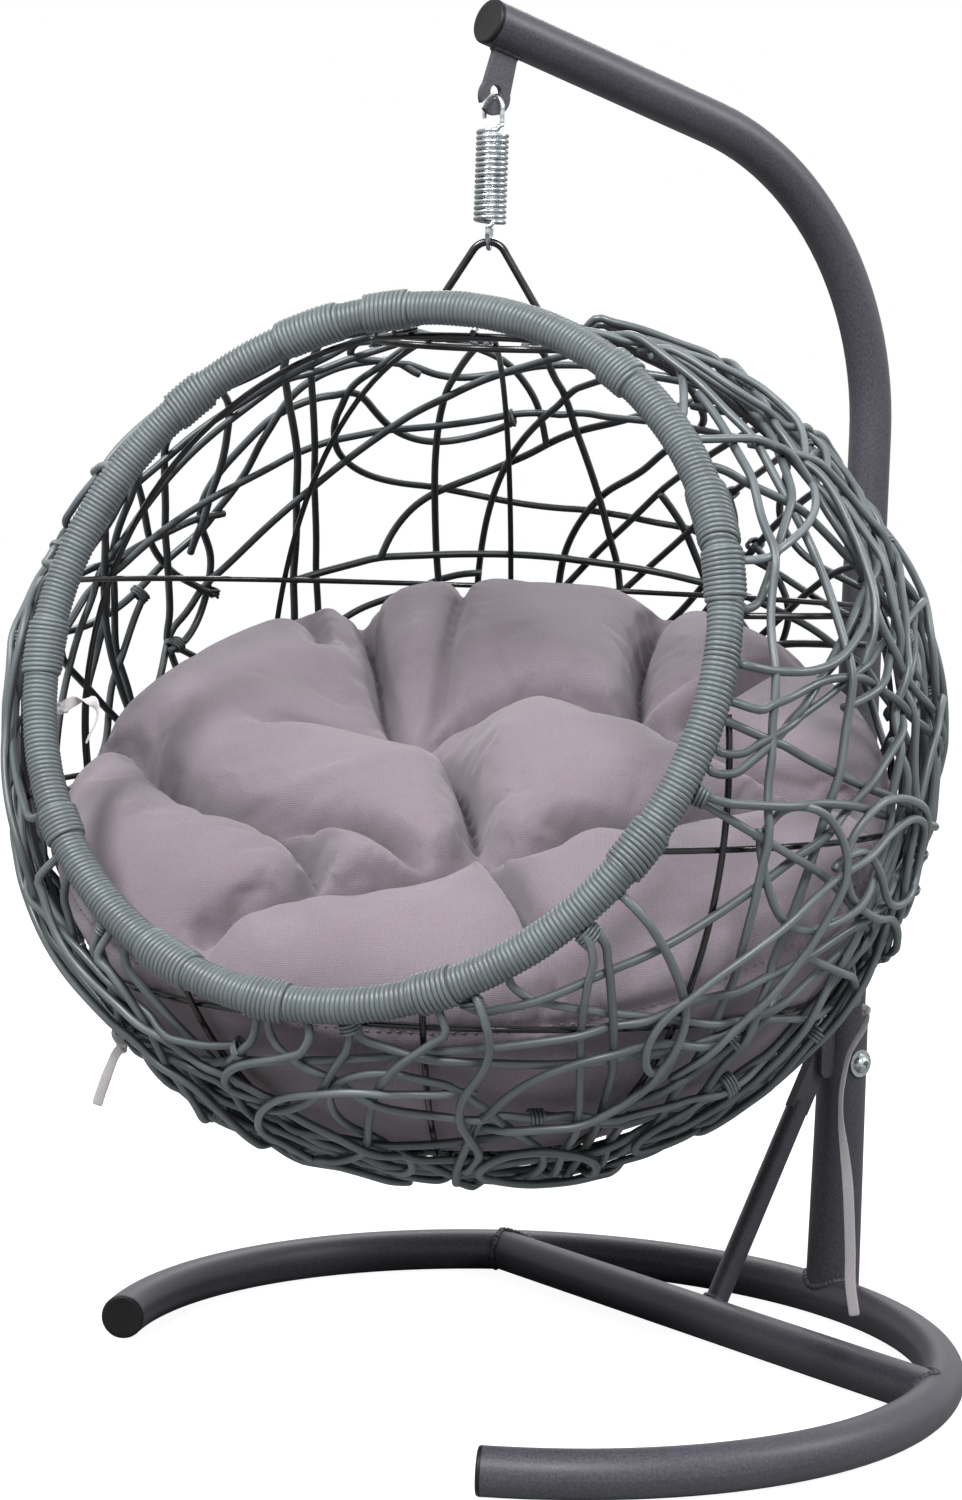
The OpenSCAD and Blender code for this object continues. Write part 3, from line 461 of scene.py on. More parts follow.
def out_of(p):
    """How far points lie from the circle of the ribs' centres, and the outward direction there."""
    q = p - NEST
    flat = np.maximum(np.hypot(q[..., 0], q[..., 1]), 1e-6)
    share = (flat - WAIST) / flat
    v = np.stack([q[..., 0] * share, q[..., 1] * share, q[..., 2]], -1)
    far = np.linalg.norm(v, axis=-1)
    return far, v / far[..., None]


def onto(p, height):
    """Moves points along the outward direction to a height over the ribs' middle."""
    far, out = out_of(p)
    return p + out * (RIB + height - far)[..., None]


def rim_ray(angle):
    """The direction from the mouth's middle to its rim."""
    return np.cos(angle)[:, None] * MOUTH_SIDE + np.sin(angle)[:, None] * MOUTH_UP


# %% [markdown]
# ## Ties
#
# Three ribbons tie the cushion to the nest, a polyester tape 7 mm wide. Their loose ends hang
# where gravity takes them.

# %% Ties
FRAME_R = 0.291                                 # what the routes are shares of
TIE_ROUTES = {
    "tie_rim": [
        [-0.311, -0.886, 0.054], [-0.31, -0.871, 0.065], [-0.302, -0.856, 0.076],
        [-0.289, -0.842, 0.081], [-0.271, -0.831, 0.081], [-0.256, -0.824, 0.072],
        [-0.247, -0.825, 0.053], [-0.244, -0.833, 0.032], [-0.244, -0.844, 0.012],
        [-0.247, -0.852, -0.01]],
    "tie_left": [
        [-0.469, -0.598, -0.716], [-0.475, -0.606, -0.726], [-0.482, -0.615, -0.741],
        [-0.487, -0.622, -0.762], [-0.492, -0.628, -0.783], [-0.497, -0.634, -0.807],
        [-0.502, -0.64, -0.832], [-0.507, -0.646, -0.859]],
    "tie_right": [
        [0.653, 0.619, -0.551], [0.659, 0.624, -0.559], [0.661, 0.626, -0.574],
        [0.656, 0.62, -0.6], [0.647, 0.608, -0.627], [0.639, 0.596, -0.658],
        [0.633, 0.589, -0.708], [0.631, 0.585, -0.76], [0.633, 0.588, -0.814],
        [0.639, 0.596, -0.877], [0.645, 0.604, -0.946], [0.649, 0.61, -1.025],
        [0.653, 0.614, -1.104], [0.655, 0.617, -1.174], [0.663, 0.626, -1.246]]}
TWIST = {"tie_rim": (0.2, 1.3), "tie_left": (0.5, 0.1), "tie_right": (1.25, 0.15)}
TAPE, TAPE_THIN = 7 * MM, 0.16                  # the ribbon's width, and its thickness as a share


def knot(mesh, centre, along, across, size):
    """An overhand knot: a flattened trefoil of tape, pulled tight."""
    along, across = unit(along), unit(across - along * (across @ along))
    third = np.cross(along, across)
    t = np.linspace(0, TAU, 40)
    line = (centre + size * (np.outer((np.sin(t) + 1.4 * np.sin(2 * t)) * 0.45, across)
                             + np.outer((np.cos(t) - 1.4 * np.cos(2 * t)) * 0.4, along)
                             + np.outer(-np.sin(3 * t) * 0.3, third)))
    sweep(mesh, line, size * 0.42, ends=False)


for name, route in TIE_ROUTES.items():
    line = spline(NEST + FRAME_R * np.array(route), 2.5 * MM)
    spin = np.interp(np.linspace(0, 1, len(line)), [0, 0.35, 0.6, 1],
                     [TWIST[name][0]] * 2 + [TWIST[name][1]] * 2)
    forward = np.gradient(line, axis=0)
    broad = np.cross(forward, np.array([0.6, 0.8, 0]))
    broad /= np.linalg.norm(broad, axis=1)[:, None]
    flat_side = np.cross(broad, forward / np.linalg.norm(forward, axis=1)[:, None])
    across = np.cos(spin)[:, None] * flat_side + np.sin(spin)[:, None] * broad
    mesh = Mesh()
    sweep(mesh, line, TAPE / 2, 16, flat=(across, TAPE_THIN))
    ribbon = place(mesh.make(name + "_ribbon", tape), "basket", name)
    mesh = Mesh()
    knot(mesh, line[1], line[2] - line[0], across[0], 3.4 * MM)
    tied = place(mesh.make(name + "_knot", tape), "basket")


# %% [markdown]
# ## The random weave
#
# The weaver ties a few long strands over the ribs, and then threads shorter ones over and under
# them by eye. We do the same. A strand is a walk on the nest's surface whose heading drifts
# gently, and each new one is the best of several tries: the one that falls where there are fewest.
# Long strands lie nearly straight and close to the ribs, and short curly ones fill the flanks.

# %% Walks on the surface
dice = np.random.default_rng(20)
STEP, STRAND = 5 * MM, 2.7 * MM                 # a walk's step, and a strand's radius
RIM_GAP, RING_GAP = 19 * MM, 82 * MM            # a walk ends so near the mouth and the axis
CROWD = 17 * MM                                 # places nearer than this crowd each other


def thickness_wanted(p):
    """How much wicker a place wants: much on the near flank and below, little on the far wall."""
    w = (p - NEST) / np.linalg.norm(p - NEST, axis=-1)[..., None]
    far_wall = np.clip(w @ unit([-0.70, 0.62, 0.25]), 0, 1)
    return 1.0 - 0.55 * far_wall ** 0.8


def inside_field(p, rim_gap=RIM_GAP):
    behind = (p - RIM_MIDDLE) @ MOUTH < -rim_gap
    q = p - NEST
    return behind & ((q[..., 2] < 0) | (np.hypot(q[..., 0], q[..., 1]) > RING_GAP))


def walk(start, heading, length, bend, memory):
    """A strand's middle line, at no height, until it meets the rim or the top ring."""
    p = onto(start, 0.0)
    _, out = out_of(p)
    d = unit(heading - out * (heading @ out))
    line, curve, bound = [p], 0.0, False
    for _ in range(int(length / STEP)):
        curve += (-curve / memory + bend * math.sqrt(2 / memory / STEP) * dice.normal()) * STEP
        d = unit(d + np.cross(out, d) * curve * STEP)
        p = onto(p + d * STEP, 0.0)
        _, out = out_of(p)
        d = unit(d - out * (d @ out))
        if not inside_field(p):
            bound = True
            break
        line.append(p)
    return np.array(line), bound


def two_ways(length, bend, memory):
    """A strand that grows both ways from a random place."""
    while True:
        v = unit(dice.normal(size=3))
        start = onto(NEST + v * 0.28, 0.0)
        if inside_field(start):
            break
    heading = dice.normal(size=3)
    a, a_bound = walk(start, heading, length / 2, bend, memory)
    b, b_bound = walk(start, -heading, length / 2, bend, memory)
    return np.vstack([b[::-1], a[1:]]), b_bound, a_bound


def crowding(line, cloud):
    """How crowded a line's places are already, against what they want."""
    if not len(cloud):
        return 0.0
    p = line[::3]
    near = np.array([np.count_nonzero(((cloud - q) ** 2).sum(1) < CROWD ** 2) for q in p])
    return float((near / thickness_wanted(p)).mean())


def grow(count, length, bend, memory, tries, height):
    """Adds strands one by one, each the least crowded of some tries. length is (low, high)."""
    for _ in range(count):
        cloud = np.vstack([s["line"][::2] for s in strands]) if strands else np.empty((0, 3))
        found = []
        for _ in range(tries):
            line, *bound = two_ways(dice.uniform(*length), bend * dice.uniform(0.5, 1.4), memory)
            if len(line) * STEP > 0.5 * min(length[0], 0.5):
                found.append((crowding(line, cloud), len(found), line, bound))
        if found:
            _, _, line, bound = min(found, key=lambda f: f[:2])
            strands.append({"line": line, "bound": bound,
                            "height": height + dice.uniform(-1.5, 1.5) * MM})


strands = []
grow(36, (1.0, 1.4), 2.2, 0.20, 7, 6.0 * MM)        # long and nearly straight, close to the ribs
for _ in range(12):                                  # strands that run round behind the rim
    at, span = dice.uniform(0, TAU), dice.uniform(0.7, 1.6)
    angle = np.linspace(at, at + span, int(RIM * span / STEP))
    waves = np.linspace(0, dice.uniform(3, 7), len(angle)) + dice.uniform(0, 6)
    back = 25 * MM + 9 * MM * np.sin(waves)
    line = onto(RIM_MIDDLE + rim_ray(angle) * RIM - np.multiply.outer(back, MOUTH), 0.0)
    strands.append({"line": line[inside_field(line, 15 * MM)], "bound": [False, False],
                    "height": 12 * MM})
grow(46, (0.35, 0.75), 11.0, 0.10, 7, 10.0 * MM)     # curly, woven over the first ones
grow(36, (0.25, 0.55), 15.0, 0.08, 7, 14.0 * MM)     # shorter and curlier, on the outside
print(len(strands), "strands laid")

# %% [markdown]
# Nothing holds a strand's free end but the strand that it crosses last, so what runs on past it is
# cut off. A cut can free the end of another strand, so we go over the whole nest eight times. The
# last few points of a strand hold nothing, or two ends could hold each other up in the air.

# %% Cutting the free ends
SHORTEST = 14                                   # a strand of so few points is taken out
MEETING = 3.6 * MM                              # how near two strands' middles pass to meet


def nearby(points):
    """A tree that finds the points near a place."""
    tree = KDTree(len(points))
    for i, p in enumerate(points):
        tree.insert(p, i)
    tree.balance()
    return tree


strands = [s for s in strands if len(s["line"]) > SHORTEST]
for _ in range(8):
    owners = [(k, 3 < j < len(s["line"]) - 4)
              for k, s in enumerate(strands) for j in range(len(s["line"]))]
    tree = nearby(np.vstack([s["line"] for s in strands]))
    for k, s in enumerate(strands):
        meets = [any(owners[i][0] != k and owners[i][1] for _, i, _ in tree.find_range(p, MEETING))
                 for p in s["line"]]
        n = len(meets)
        first = 0 if s["bound"][0] else next((i for i in range(n) if meets[i]), n)
        last = n - 1 if s["bound"][1] else next((i for i in range(n - 1, 0, -1) if meets[i]), 0)
        s["line"] = s["line"][first:last + 1]
    strands = [s for s in strands if len(s["line"]) > SHORTEST]
print(len(strands), "strands,", round(sum(len(s["line"]) for s in strands) * STEP, 1), "m")

# %% [markdown]
# ## Over and under
#
# Where two strands cross, one has to go over the other. Each point of a strand has a height over
# the ribs. Crossing points push each other apart until a strand's thickness lies between them, and
# in between the heights are smoothed, as a stiff strand would. Sixty rounds settle it.

# %% Crossing heights
CLEAR = 5.6 * MM                                # how far apart two strands' middles have to be
LEVEL = 2 * MM                                  # heights closer than this count as level
LOWEST, HIGHEST = 5.0 * MM, 20 * MM
TAIL, OWN = 3, 8          # points in a strand's tail, and between two that meet in one strand
counts = [len(s["line"]) for s in strands]
line_all = np.vstack([s["line"] for s in strands])
owner = np.repeat(np.arange(len(strands)), counts)
place_in = np.concatenate([np.arange(n) for n in counts])
height = np.repeat([s["height"] for s in strands], counts)
height += 2.2 * MM * np.sin(place_in * STEP / 0.035 + owner * 1.7)
tree = nearby(line_all)
pairs = [(i, j, d) for i, p in enumerate(line_all) for _, j, d in tree.find_range(p, CLEAR)
         if j > i and (owner[i] != owner[j] or abs(place_in[i] - place_in[j]) > OWN)]
near_a, near_b, gap = (np.array(part) for part in zip(*pairs))
apart = np.sqrt(np.maximum(CLEAR ** 2 - gap ** 2, 0))
# the higher one goes over; where they are level, their numbers decide; a strand's tail goes under
order = np.where(np.abs(height[near_a] - height[near_b]) < LEVEL,
                 np.where((owner[near_a] * 7 + owner[near_b] * 13) % 2 == 0, 1.0, -1.0),
                 np.sign(height[near_a] - height[near_b] + 1e-9))
tail = np.concatenate([np.minimum(np.arange(n), np.arange(n)[::-1]) < TAIL for n in counts])
order = np.where(tail[near_a] & ~tail[near_b], -1.0,
                 np.where(tail[near_b] & ~tail[near_a], 1.0, order))
same = owner[:-1] == owner[1:]
for _ in range(60):
    lack = apart - order * (height[near_a] - height[near_b])
    push = np.where(lack > 0, lack * 0.5 * order, 0)
    moved, times = np.zeros_like(height), np.full(len(height), 1e-9)
    for near, way in ((near_a, push), (near_b, -push)):
        np.add.at(moved, near, way)
        np.add.at(times, near, lack > 0)
    height += moved / np.maximum(times, 1)
    mean = height.copy()
    mean[1:-1] = np.where(same[:-1] & same[1:],
                          0.25 * height[:-2] + 0.5 * height[1:-1] + 0.25 * height[2:],
                          height[1:-1])
    height = np.clip(0.55 * height + 0.45 * mean, LOWEST, HIGHEST)
print(len(pairs), "near pairs; heights", (height.min() * 1000).round(1), "to",
      (height.max() * 1000).round(1), "mm")

# %% [markdown]
# ## Three woven layers
#
# A strand that reaches the rim or the top ring is bound in there, so its end is carried on to it.
# Each strand then gets its own thickness and tone. The lowest strands, under the others, are
# painted a shade darker and the outer ones lighter, as painted shade and light. They become three
# pieces by their height, as the engineering model has three.

# %% Strands into three woven layers
BOUND_R = 3.6 * MM                              # how far a strand lies from the wire it is bound to
TUCK_RIM, TUCK_RING = 27 * MM, 92 * MM          # ends so near the mouth and the axis are bound in
INNER, MIDDLE = 9.5 * MM, 13 * MM               # mean heights up to which a layer goes


def tuck(line):
    """Carries a strand's end on to the rim or the top ring, where it is bound in."""
    end, before = line[-1], line[-4]
    q = end - NEST
    to_rim = (RIM_MIDDLE - end) @ MOUTH
    if to_rim < TUCK_RIM:
        ray = end + MOUTH * to_rim - RIM_MIDDLE
        bound = RIM_MIDDLE + unit(ray) * RIM
        goal = bound + unit(end - bound) * (WRAP - 1.0 * MM)
    elif q[2] > 0 and math.hypot(q[0], q[1]) < TUCK_RING:
        bound = NEST + np.array([*(unit(q[:2]) * TOP_RING), TOP_RING_Z])
        goal = bound + unit(end - bound) * BOUND_R
    else:
        return line
    mid = 0.5 * (end + goal) + unit(end - before) * 2 * MM
    return np.vstack([line, mid[None], goal[None]])


LAYER_PAINTED_SHADE = {"inner": -0.15, "middle": 0, "outer": 0.1}
woven, laid, done = {layer: Mesh() for layer in LAYER_PAINTED_SHADE}, [], 0
for s in strands:
    h = height[done:done + len(s["line"])]
    done += len(s["line"])
    line = onto(s["line"], h)
    for _ in range(2):
        line[1:-1] = 0.25 * line[:-2] + 0.5 * line[1:-1] + 0.25 * line[2:]
    line = tuck(tuck(line)[::-1])
    line = spline(np.vstack([line[:1], line[1:-1:2], line[-1:]]), 4.5 * MM)
    laid.append(line)
    layer = "inner" if h.mean() < INNER else "middle" if h.mean() < MIDDLE else "outer"
    # painted shade and light: the layer's offset darkens the inner strands and lightens the outer
    # ones
    tone = np.clip(dice.normal(0.5, 0.2) + LAYER_PAINTED_SHADE[layer], 0, 1)
    radius = STRAND * dice.uniform(0.93, 1.03)
    sweep(woven[layer], line, radius, 10, tone, start=dice.uniform(0, 5))
for layer, mesh in woven.items():
    place(mesh.make("woven_strands_" + layer, wicker), "basket", "wicker_" + layer)
    print(layer, mesh.count, "points")

# %% [markdown]
# About half of the strands' free ends are lashed to the strand that they stop at, with two or
# three turns of a thin strand. These small lashings show all over the nest as little rings.

# %% Lashings
THIN, LASH_PITCH = 1.15 * MM, 2.4 * MM          # the thin strand's radius, and from turn to turn
where = [(k, i) for k, line in enumerate(laid) for i in range(len(line))]
tree = nearby(np.vstack(laid))
lashings = Mesh()
for k, line in enumerate(laid):
    for end, bound in zip((0, len(line) - 1), strands[k]["bound"]):
        other = next((where[n] for _, n, _ in tree.find_range(line[end], 9 * MM)
                      if where[n][0] != k), None)
        if bound or other is None or dice.random() < 0.45:
            continue
        carrier = laid[other[0]]
        i = min(max(other[1], 1), len(carrier) - 2)
        along = unit(carrier[i + 1] - carrier[i - 1])
        across = line[end] - carrier[i]
        across = across - along * (across @ along)
        half = np.linalg.norm(across) / 2
        across = unit(across) if half > 1e-5 else unit(np.cross(along, [0.3, 0.2, 0.9]))
        third = np.cross(along, across)
        turns = dice.choice([2.4, 3.4])
        t = np.linspace(0, TAU * turns, 64)
        turn = ((half + BOUND_R) * np.outer(np.cos(t), across)
                + BOUND_R * np.outer(np.sin(t), third)
                + np.outer((t / TAU - turns / 2) * LASH_PITCH, along))
        sweep(lashings, carrier[i] + across * half + turn, THIN, 7, dice.uniform(0.3, 0.8))
place(lashings.make("strand_lashings", wicker), "basket")
print("lashings", lashings.count, "points")

# %% [markdown]
# ## The bound rim
#
# One strand 3 mm thick is wound round the steel rim, 466 turns side by side. Where the weaver
# bound in the ends of other strands, a second short winding lies over the first.

# %% Bound rim
def rim_coil(angle, spin, radius):
    """A line that winds round the rim's tube: its angle round the mouth, its spin and radius."""
    return (RIM_MIDDLE + rim_ray(angle) * (RIM + radius * np.cos(spin))[:, None]
            + MOUTH * (radius * np.sin(spin))[:, None])


BINDING, OVER_IT = 1.78 * MM, 1.7 * MM          # the two strands' radii, out to their corners
turns, per_turn = 466, 22
t = np.linspace(0, TAU, turns * per_turn + 1)
loose = 9.15 * MM + 0.1 * MM * np.sin(37 * t + 3 * np.sin(5 * t))
tone_turn = dice.uniform(0.25, 0.75, turns + 1)
tone = np.repeat(0.5 + 0.5 * (tone_turn[(turns * t / TAU).astype(int)] - 0.5), 6)
mesh = Mesh()
sweep(mesh, rim_coil(t + 0.0006 * np.sin(9 * t) / RIM, turns * t, loose), BINDING, 6, tone,
      ends=False)
# each patch: its angle round the mouth, its turns and its slant
PATCHES = ((3.20, 12, 0.5), (2.36, 9, -0.4), (1.95, 14, 0.35), (1.72, 10, -0.3), (0.42, 13, 0.5),
           (0.25, 11, -0.6), (5.75, 10, 0.3), (4.30, 12, -0.35), (4.62, 9, 0.4), (5.10, 8, -0.2),
           (3.75, 7, 0.3), (0.95, 7, -0.3))
for at, count, slant in PATCHES:
    spin = np.linspace(0, TAU * count, count * per_turn)
    angle = at + (spin / TAU - count / 2) * 3.05 * MM / RIM + slant * 0.02 * np.sin(spin)
    swell = 11.3 * MM - 1.9 * MM * np.abs(np.linspace(-1, 1, len(spin))) ** 14
    sweep(mesh, rim_coil(angle, spin, swell), OVER_IT, 6, dice.uniform(0.35, 0.7))
place(mesh.make("rim_binding", wound), "basket", "rim_wrap")
print("rim binding", turns, "turns and", len(PATCHES), "patches")

# %% [markdown]
# ## The cushion
#
# A round pad, filled with loose polyester, with one button pulled down near its middle. The
# pull gathers the cover into deep folds, and the filling swells into lobes between them. We make
# the gathered form a little too small, and let a cloth simulation blow it up, which rounds the
# lobes as real filling does.

# %% The folds
PAD_TILT, PAD_TURN = math.radians(25), math.radians(40)
PAD_UP = np.array([math.sin(PAD_TILT) * math.sin(PAD_TURN),
                   -math.sin(PAD_TILT) * math.cos(PAD_TURN), math.cos(PAD_TILT)])
PAD_U = unit(np.cross([0, 1, 0], PAD_UP))
PAD_V = np.cross(PAD_UP, PAD_U)
PAD_DROP, BOWL = 42 * MM, 261.5 * MM            # the edge below the nest's middle, and its radius
PAD_MIDDLE = NEST - PAD_UP * PAD_DROP
TUFT = np.array([-58, -10, 18]) * MM            # the button's place from there, up last
# each fold as points in the pad's plane, in mm, with its depth as a share and half width in mm
FOLDS = (
    ([(-250, 75), (-172, 36), (-105, 0), (-62, -11)], 0.88, 36),
    ([(-212, 150), (-127, 73), (-78, 26), (-58, -9)], 0.40, 26),
    ([(-98, 232), (-38, 168), (20, 122), (40, 96)], 0.88, 36),
    ([(-57, -9), (-60, 20), (-46, 42), (-20, 64), (8, 80), (40, 94), (66, 106), (104, 108),
      (140, 118), (176, 134)], 0.80, 36),
    ([(-57, -12), (-5, -17), (27, -28), (63, -45), (98, -64)], 0.90, 34),
    ([(98, -64), (128, -58), (136, -38), (132, -12), (146, 24), (166, 70), (180, 122), (196, 158)],
     0.78, 34),
    ([(98, -64), (130, -74), (165, -84), (204, -94)], 0.62, 30),
    ([(98, -64), (114, -86), (116, -110), (106, -134), (94, -156), (76, -184), (62, -212),
      (54, -240)], 0.76, 32),
    ([(-60, -14), (-68, -40), (-82, -64), (-90, -92)], 0.45, 30),
    ([(-190, -170), (-165, -160), (-130, -166), (-85, -170), (-48, -166), (-14, -156),
      (22, -150), (57, -158), (76, -184)], 0.84, 38),
    ([(-14, -156), (15, -133), (38, -122), (72, -114), (112, -110)], 0.62, 30),
    ([(-240, 20), (-205, 10), (-170, -6)], 0.38, 26),
    ([(40, 250), (48, 205), (60, 160), (66, 108)], 0.55, 28))


def in_pad_plane(points):
    q = (points - PAD_MIDDLE) / MM
    return np.stack([q @ PAD_U, q @ PAD_V], 1)


def from_fold(q, route, step):
    """The square of each point's distance from each point of a fold's line."""
    line = spline(np.array([(x, y, 0.0) for x, y in route]), step)[:, :2]
    return ((q[:, None] - line[None]) ** 2).sum(2)


def folded(points):
    """How much of the crown the folds leave at each point: 1 on top of a lobe."""
    q = in_pad_plane(points)
    left = np.ones(len(q))
    for route, depth, wide in FOLDS:
        near = np.clip(np.sqrt(from_fold(q, route, 4.0)).min(1) / wide, 0, 1)
        left = np.minimum(left, 1 - depth * (1 - np.sqrt(1 - (1 - near) ** 2)))
    return left


def creased(points, width, depth):
    """How far each point goes down where the cover is drawn into a narrow crease."""
    q = in_pad_plane(points)
    down = np.zeros(len(q))
    for route, share, _ in FOLDS:
        off = from_fold(q, route, 3.0)
        run = np.linspace(0, 1, off.shape[1])[off.argmin(1)]
        ends = np.sin(np.pi * np.clip(run, 0.04, 0.96)) ** 0.5
        down = np.maximum(down, share * ends * np.exp(-off.min(1) / width ** 2))
    return down * depth


print(len(FOLDS), "folds")

# %% [markdown]
# The pad's form is built in rings: from the tuft out to the edge over the crown, and on from the
# edge down the bowl to the foot. Rings are poor for a simulation, because they crowd together at
# both poles, so the form is remeshed into even squares of 5 mm.

# %% Cushion form
EDGE_POLAR = math.acos(PAD_DROP / BOWL)
CROWN = 56 * MM
IN_RIM = (RIM_OUT - 11 - 6) * MM                # the pad stays 6 mm behind the rim's winding


def bowl_reach(d, radius):
    """How far rays from the nest's middle go to the bowl, the mouth's plane or the flat bottom."""
    s = np.full(len(d), radius)
    for _ in range(14):                         # each round halves what is left, or better
        q = s[:, None] * d
        s = s + (radius - np.hypot(np.hypot(q[:, 0], q[:, 1]) - WAIST, q[:, 2])) / 0.75
    toward = d @ MOUTH
    s = np.where(toward > 0.05, np.minimum(s, IN_RIM / np.maximum(toward, 0.05)), s)
    low = (-radius + 10 * MM) / np.minimum(d[:, 2], -0.05)
    return np.where(d[:, 2] < -0.05, np.minimum(s, low), s)


def pad_ring(polar, turn):
    """The ring of the bowl at an angle from straight down."""
    d = (-PAD_UP * np.cos(polar)
         + (PAD_U * np.cos(turn)[:, None] + PAD_V * np.sin(turn)[:, None]) * np.sin(polar))
    return NEST + d * bowl_reach(d, BOWL)[:, None]


def closed_faces(n, rows):
    """Faces over rows of n points each, closed by a first point and a last one."""
    faces = [[0, 1 + k, 1 + (k + 1) % n] for k in range(n)]
    for base in range(1, 1 + (rows - 1) * n, n):
        faces += [[base + (k + 1) % n, base + k, base + n + k, base + n + (k + 1) % n]
                  for k in range(n)]
    base = 1 + (rows - 1) * n
    return faces + [[base + (k + 1) % n, base + k, base + n] for k in range(n)]


def cushion_form(shrink, sectors=240, top_rings=60, low_rings=30):
    """The gathered pad as a closed mesh, smaller than the real one by shrink."""
    turn = np.linspace(0, TAU, sectors, endpoint=False)
    edge = pad_ring(EDGE_POLAR, turn)
    tuft = PAD_MIDDLE + PAD_U * TUFT[0] + PAD_V * TUFT[1] + PAD_UP * TUFT[2]
    spoke = edge - tuft
    reach = np.linalg.norm(spoke, axis=1)
    rows = []
    for s in np.arange(1, top_rings) / top_rings:
        flat = tuft + spoke * s
        rise = np.clip(s * reach / (98 * MM), 0, 1)
        fall = np.clip((1 - s) * reach / (70 * MM), 0, 1)
        crown = CROWN * rise ** 2 * (3 - 2 * rise) * np.sqrt(1 - (1 - fall) ** 2)
        rows.append(flat + PAD_UP * (crown * folded(flat))[:, None])
    rows.append(edge)
    rows += [pad_ring(EDGE_POLAR * (1 - i / low_rings), turn) for i in range(1, low_rings)]
    foot = NEST - PAD_UP * float(bowl_reach(-PAD_UP[None], BOWL)[0])
    points = np.vstack([tuft[None], *rows, foot[None]])
    data = bpy.data.meshes.new("pad")
    data.from_pydata(points.tolist(), [], closed_faces(sectors, len(rows)))
    data.update()
    normals = np.array([v.normal for v in data.vertices])
    if ((points - points.mean(0)) * normals).sum() < 0:
        normals = -normals
        data.flip_normals()
    data.vertices.foreach_set("co", (points - normals * shrink).ravel())
    data.update()
    return data, tuft, foot


def evaluated(piece):
    """The piece's mesh as its modifiers leave it."""
    graph = bpy.context.evaluated_depsgraph_get()
    graph.update()
    return bpy.data.meshes.new_from_object(piece.evaluated_get(graph))


def apply_modifiers(piece):
    """Gives the piece the mesh that its modifiers make, and takes them off."""
    piece.data, old = evaluated(piece), piece.data
    piece.modifiers.clear()
    bpy.data.meshes.remove(old)


def coordinates(mesh):
    co = np.empty(len(mesh.vertices) * 3, np.float32)
    mesh.vertices.foreach_get("co", co)
    return co.reshape(-1, 3).astype(float)


def set_coordinates(mesh, co):
    mesh.vertices.foreach_set("co", co.astype(np.float32).ravel())
    mesh.update()


data, tuft, foot = cushion_form(7 * MM)
pad = put("tufted_cushion", data)
even = pad.modifiers.new("even", "REMESH")
even.mode, even.voxel_size, even.use_smooth_shade = "VOXEL", 5 * MM, True
apply_modifiers(pad)
print("cushion form", len(pad.data.vertices), "points")

# %% [markdown]
# The cloth simulation has air pressure inside and no gravity. It is held at the tuft and the foot,
# and nearly held along the folds, where the filling can't reach. A point may move by 14 mm at
# most.

# %% Cushion simulation
FURTHEST = 14 * MM                              # how far a point may move
start = coordinates(pad.data)
pins = pad.vertex_groups.new(name="pins")
near_tuft = np.linalg.norm(start - tuft, axis=1) < 16 * MM
near_foot = np.linalg.norm(start - foot, axis=1) < 20 * MM
held = np.where(near_tuft | near_foot)[0]
pins.add([int(i) for i in held], 1.0, "REPLACE")
upper = (start - NEST) @ PAD_UP > -PAD_DROP - 4 * MM
sewn = np.where(upper & ~near_tuft & (folded(start) < 0.38))[0]
pins.add([int(i) for i in sewn], 0.8, "REPLACE")
cloth_mod = pad.modifiers.new("cloth", "CLOTH")
rules = cloth_mod.settings
rules.quality, rules.mass = 6, 0.3
rules.tension_stiffness = rules.compression_stiffness = 15
rules.shear_stiffness, rules.bending_stiffness = 8, 0.35
rules.use_pressure, rules.uniform_pressure_force = True, 5.0
rules.shrink_min = -0.03          # a little more cloth than the form needs, to crease
rules.vertex_group_mass = "pins"
rules.effector_weights.gravity = 0
cloth_mod.collision_settings.use_collision = False
for number in range(1, 21):
    scene.frame_set(number)
blown = evaluated(pad)
moved = coordinates(blown) - start
far = np.linalg.norm(moved, axis=1)
keep = np.minimum(1.0, FURTHEST / np.maximum(far, 1e-9))
pad.modifiers.clear()
bpy.data.meshes.remove(blown)
set_coordinates(pad.data, start + moved * keep[:, None])
scene.frame_set(1)
print("cushion blown up by", round(float(far.mean() * 1000), 1), "mm on average")

# %% [markdown]
# ## Seat the cushion and sew it
#
# The pad can't pass through the bowl, so points that went past it are brought back to it. One
# subdivision smooths the skin. Then the seam is pressed in along the edge, where the top and the
# bottom of the cover are sewn together, and each fold is drawn down into a narrow crease. Each
# point keeps a share of painted shade, high in a crease, which darkens the cloth's colour. Stitches
# go in along the seam.

# %% Seat, seam and creases
BEHIND_RIM = 14 * MM                            # how far behind the rim's plane the pad stays
SEAM_DEEP, SEAM_WIDE = 3.2 * MM, 5 * MM
CREASE_DEEP, CREASE_WIDE = 20 * MM, 5.5         # the width in mm, as the folds are
finer = pad.modifiers.new("finer", "SUBSURF")
finer.levels = finer.render_levels = 1
apply_modifiers(pad)
co = coordinates(pad.data)
far, out = out_of(co)
co -= out * np.maximum(far - BOWL, 0)[:, None]
past = (co - RIM_MIDDLE) @ MOUTH
off_axis = np.linalg.norm((co - RIM_MIDDLE) - past[:, None] * MOUTH, axis=1)
near_rim = off_axis > RIM - 40 * MM
co -= MOUTH[None] * (np.maximum(past + BEHIND_RIM, 0) * near_rim)[:, None]
set_coordinates(pad.data, co)
skin = BVHTree.FromObject(pad, bpy.context.evaluated_depsgraph_get())
seam = pad_ring(EDGE_POLAR, np.linspace(0, TAU, 420, endpoint=False))
on_skin = [skin.find_nearest(Vector(p)) for p in seam]
seam_line = np.array([hit[0] for hit in on_skin])
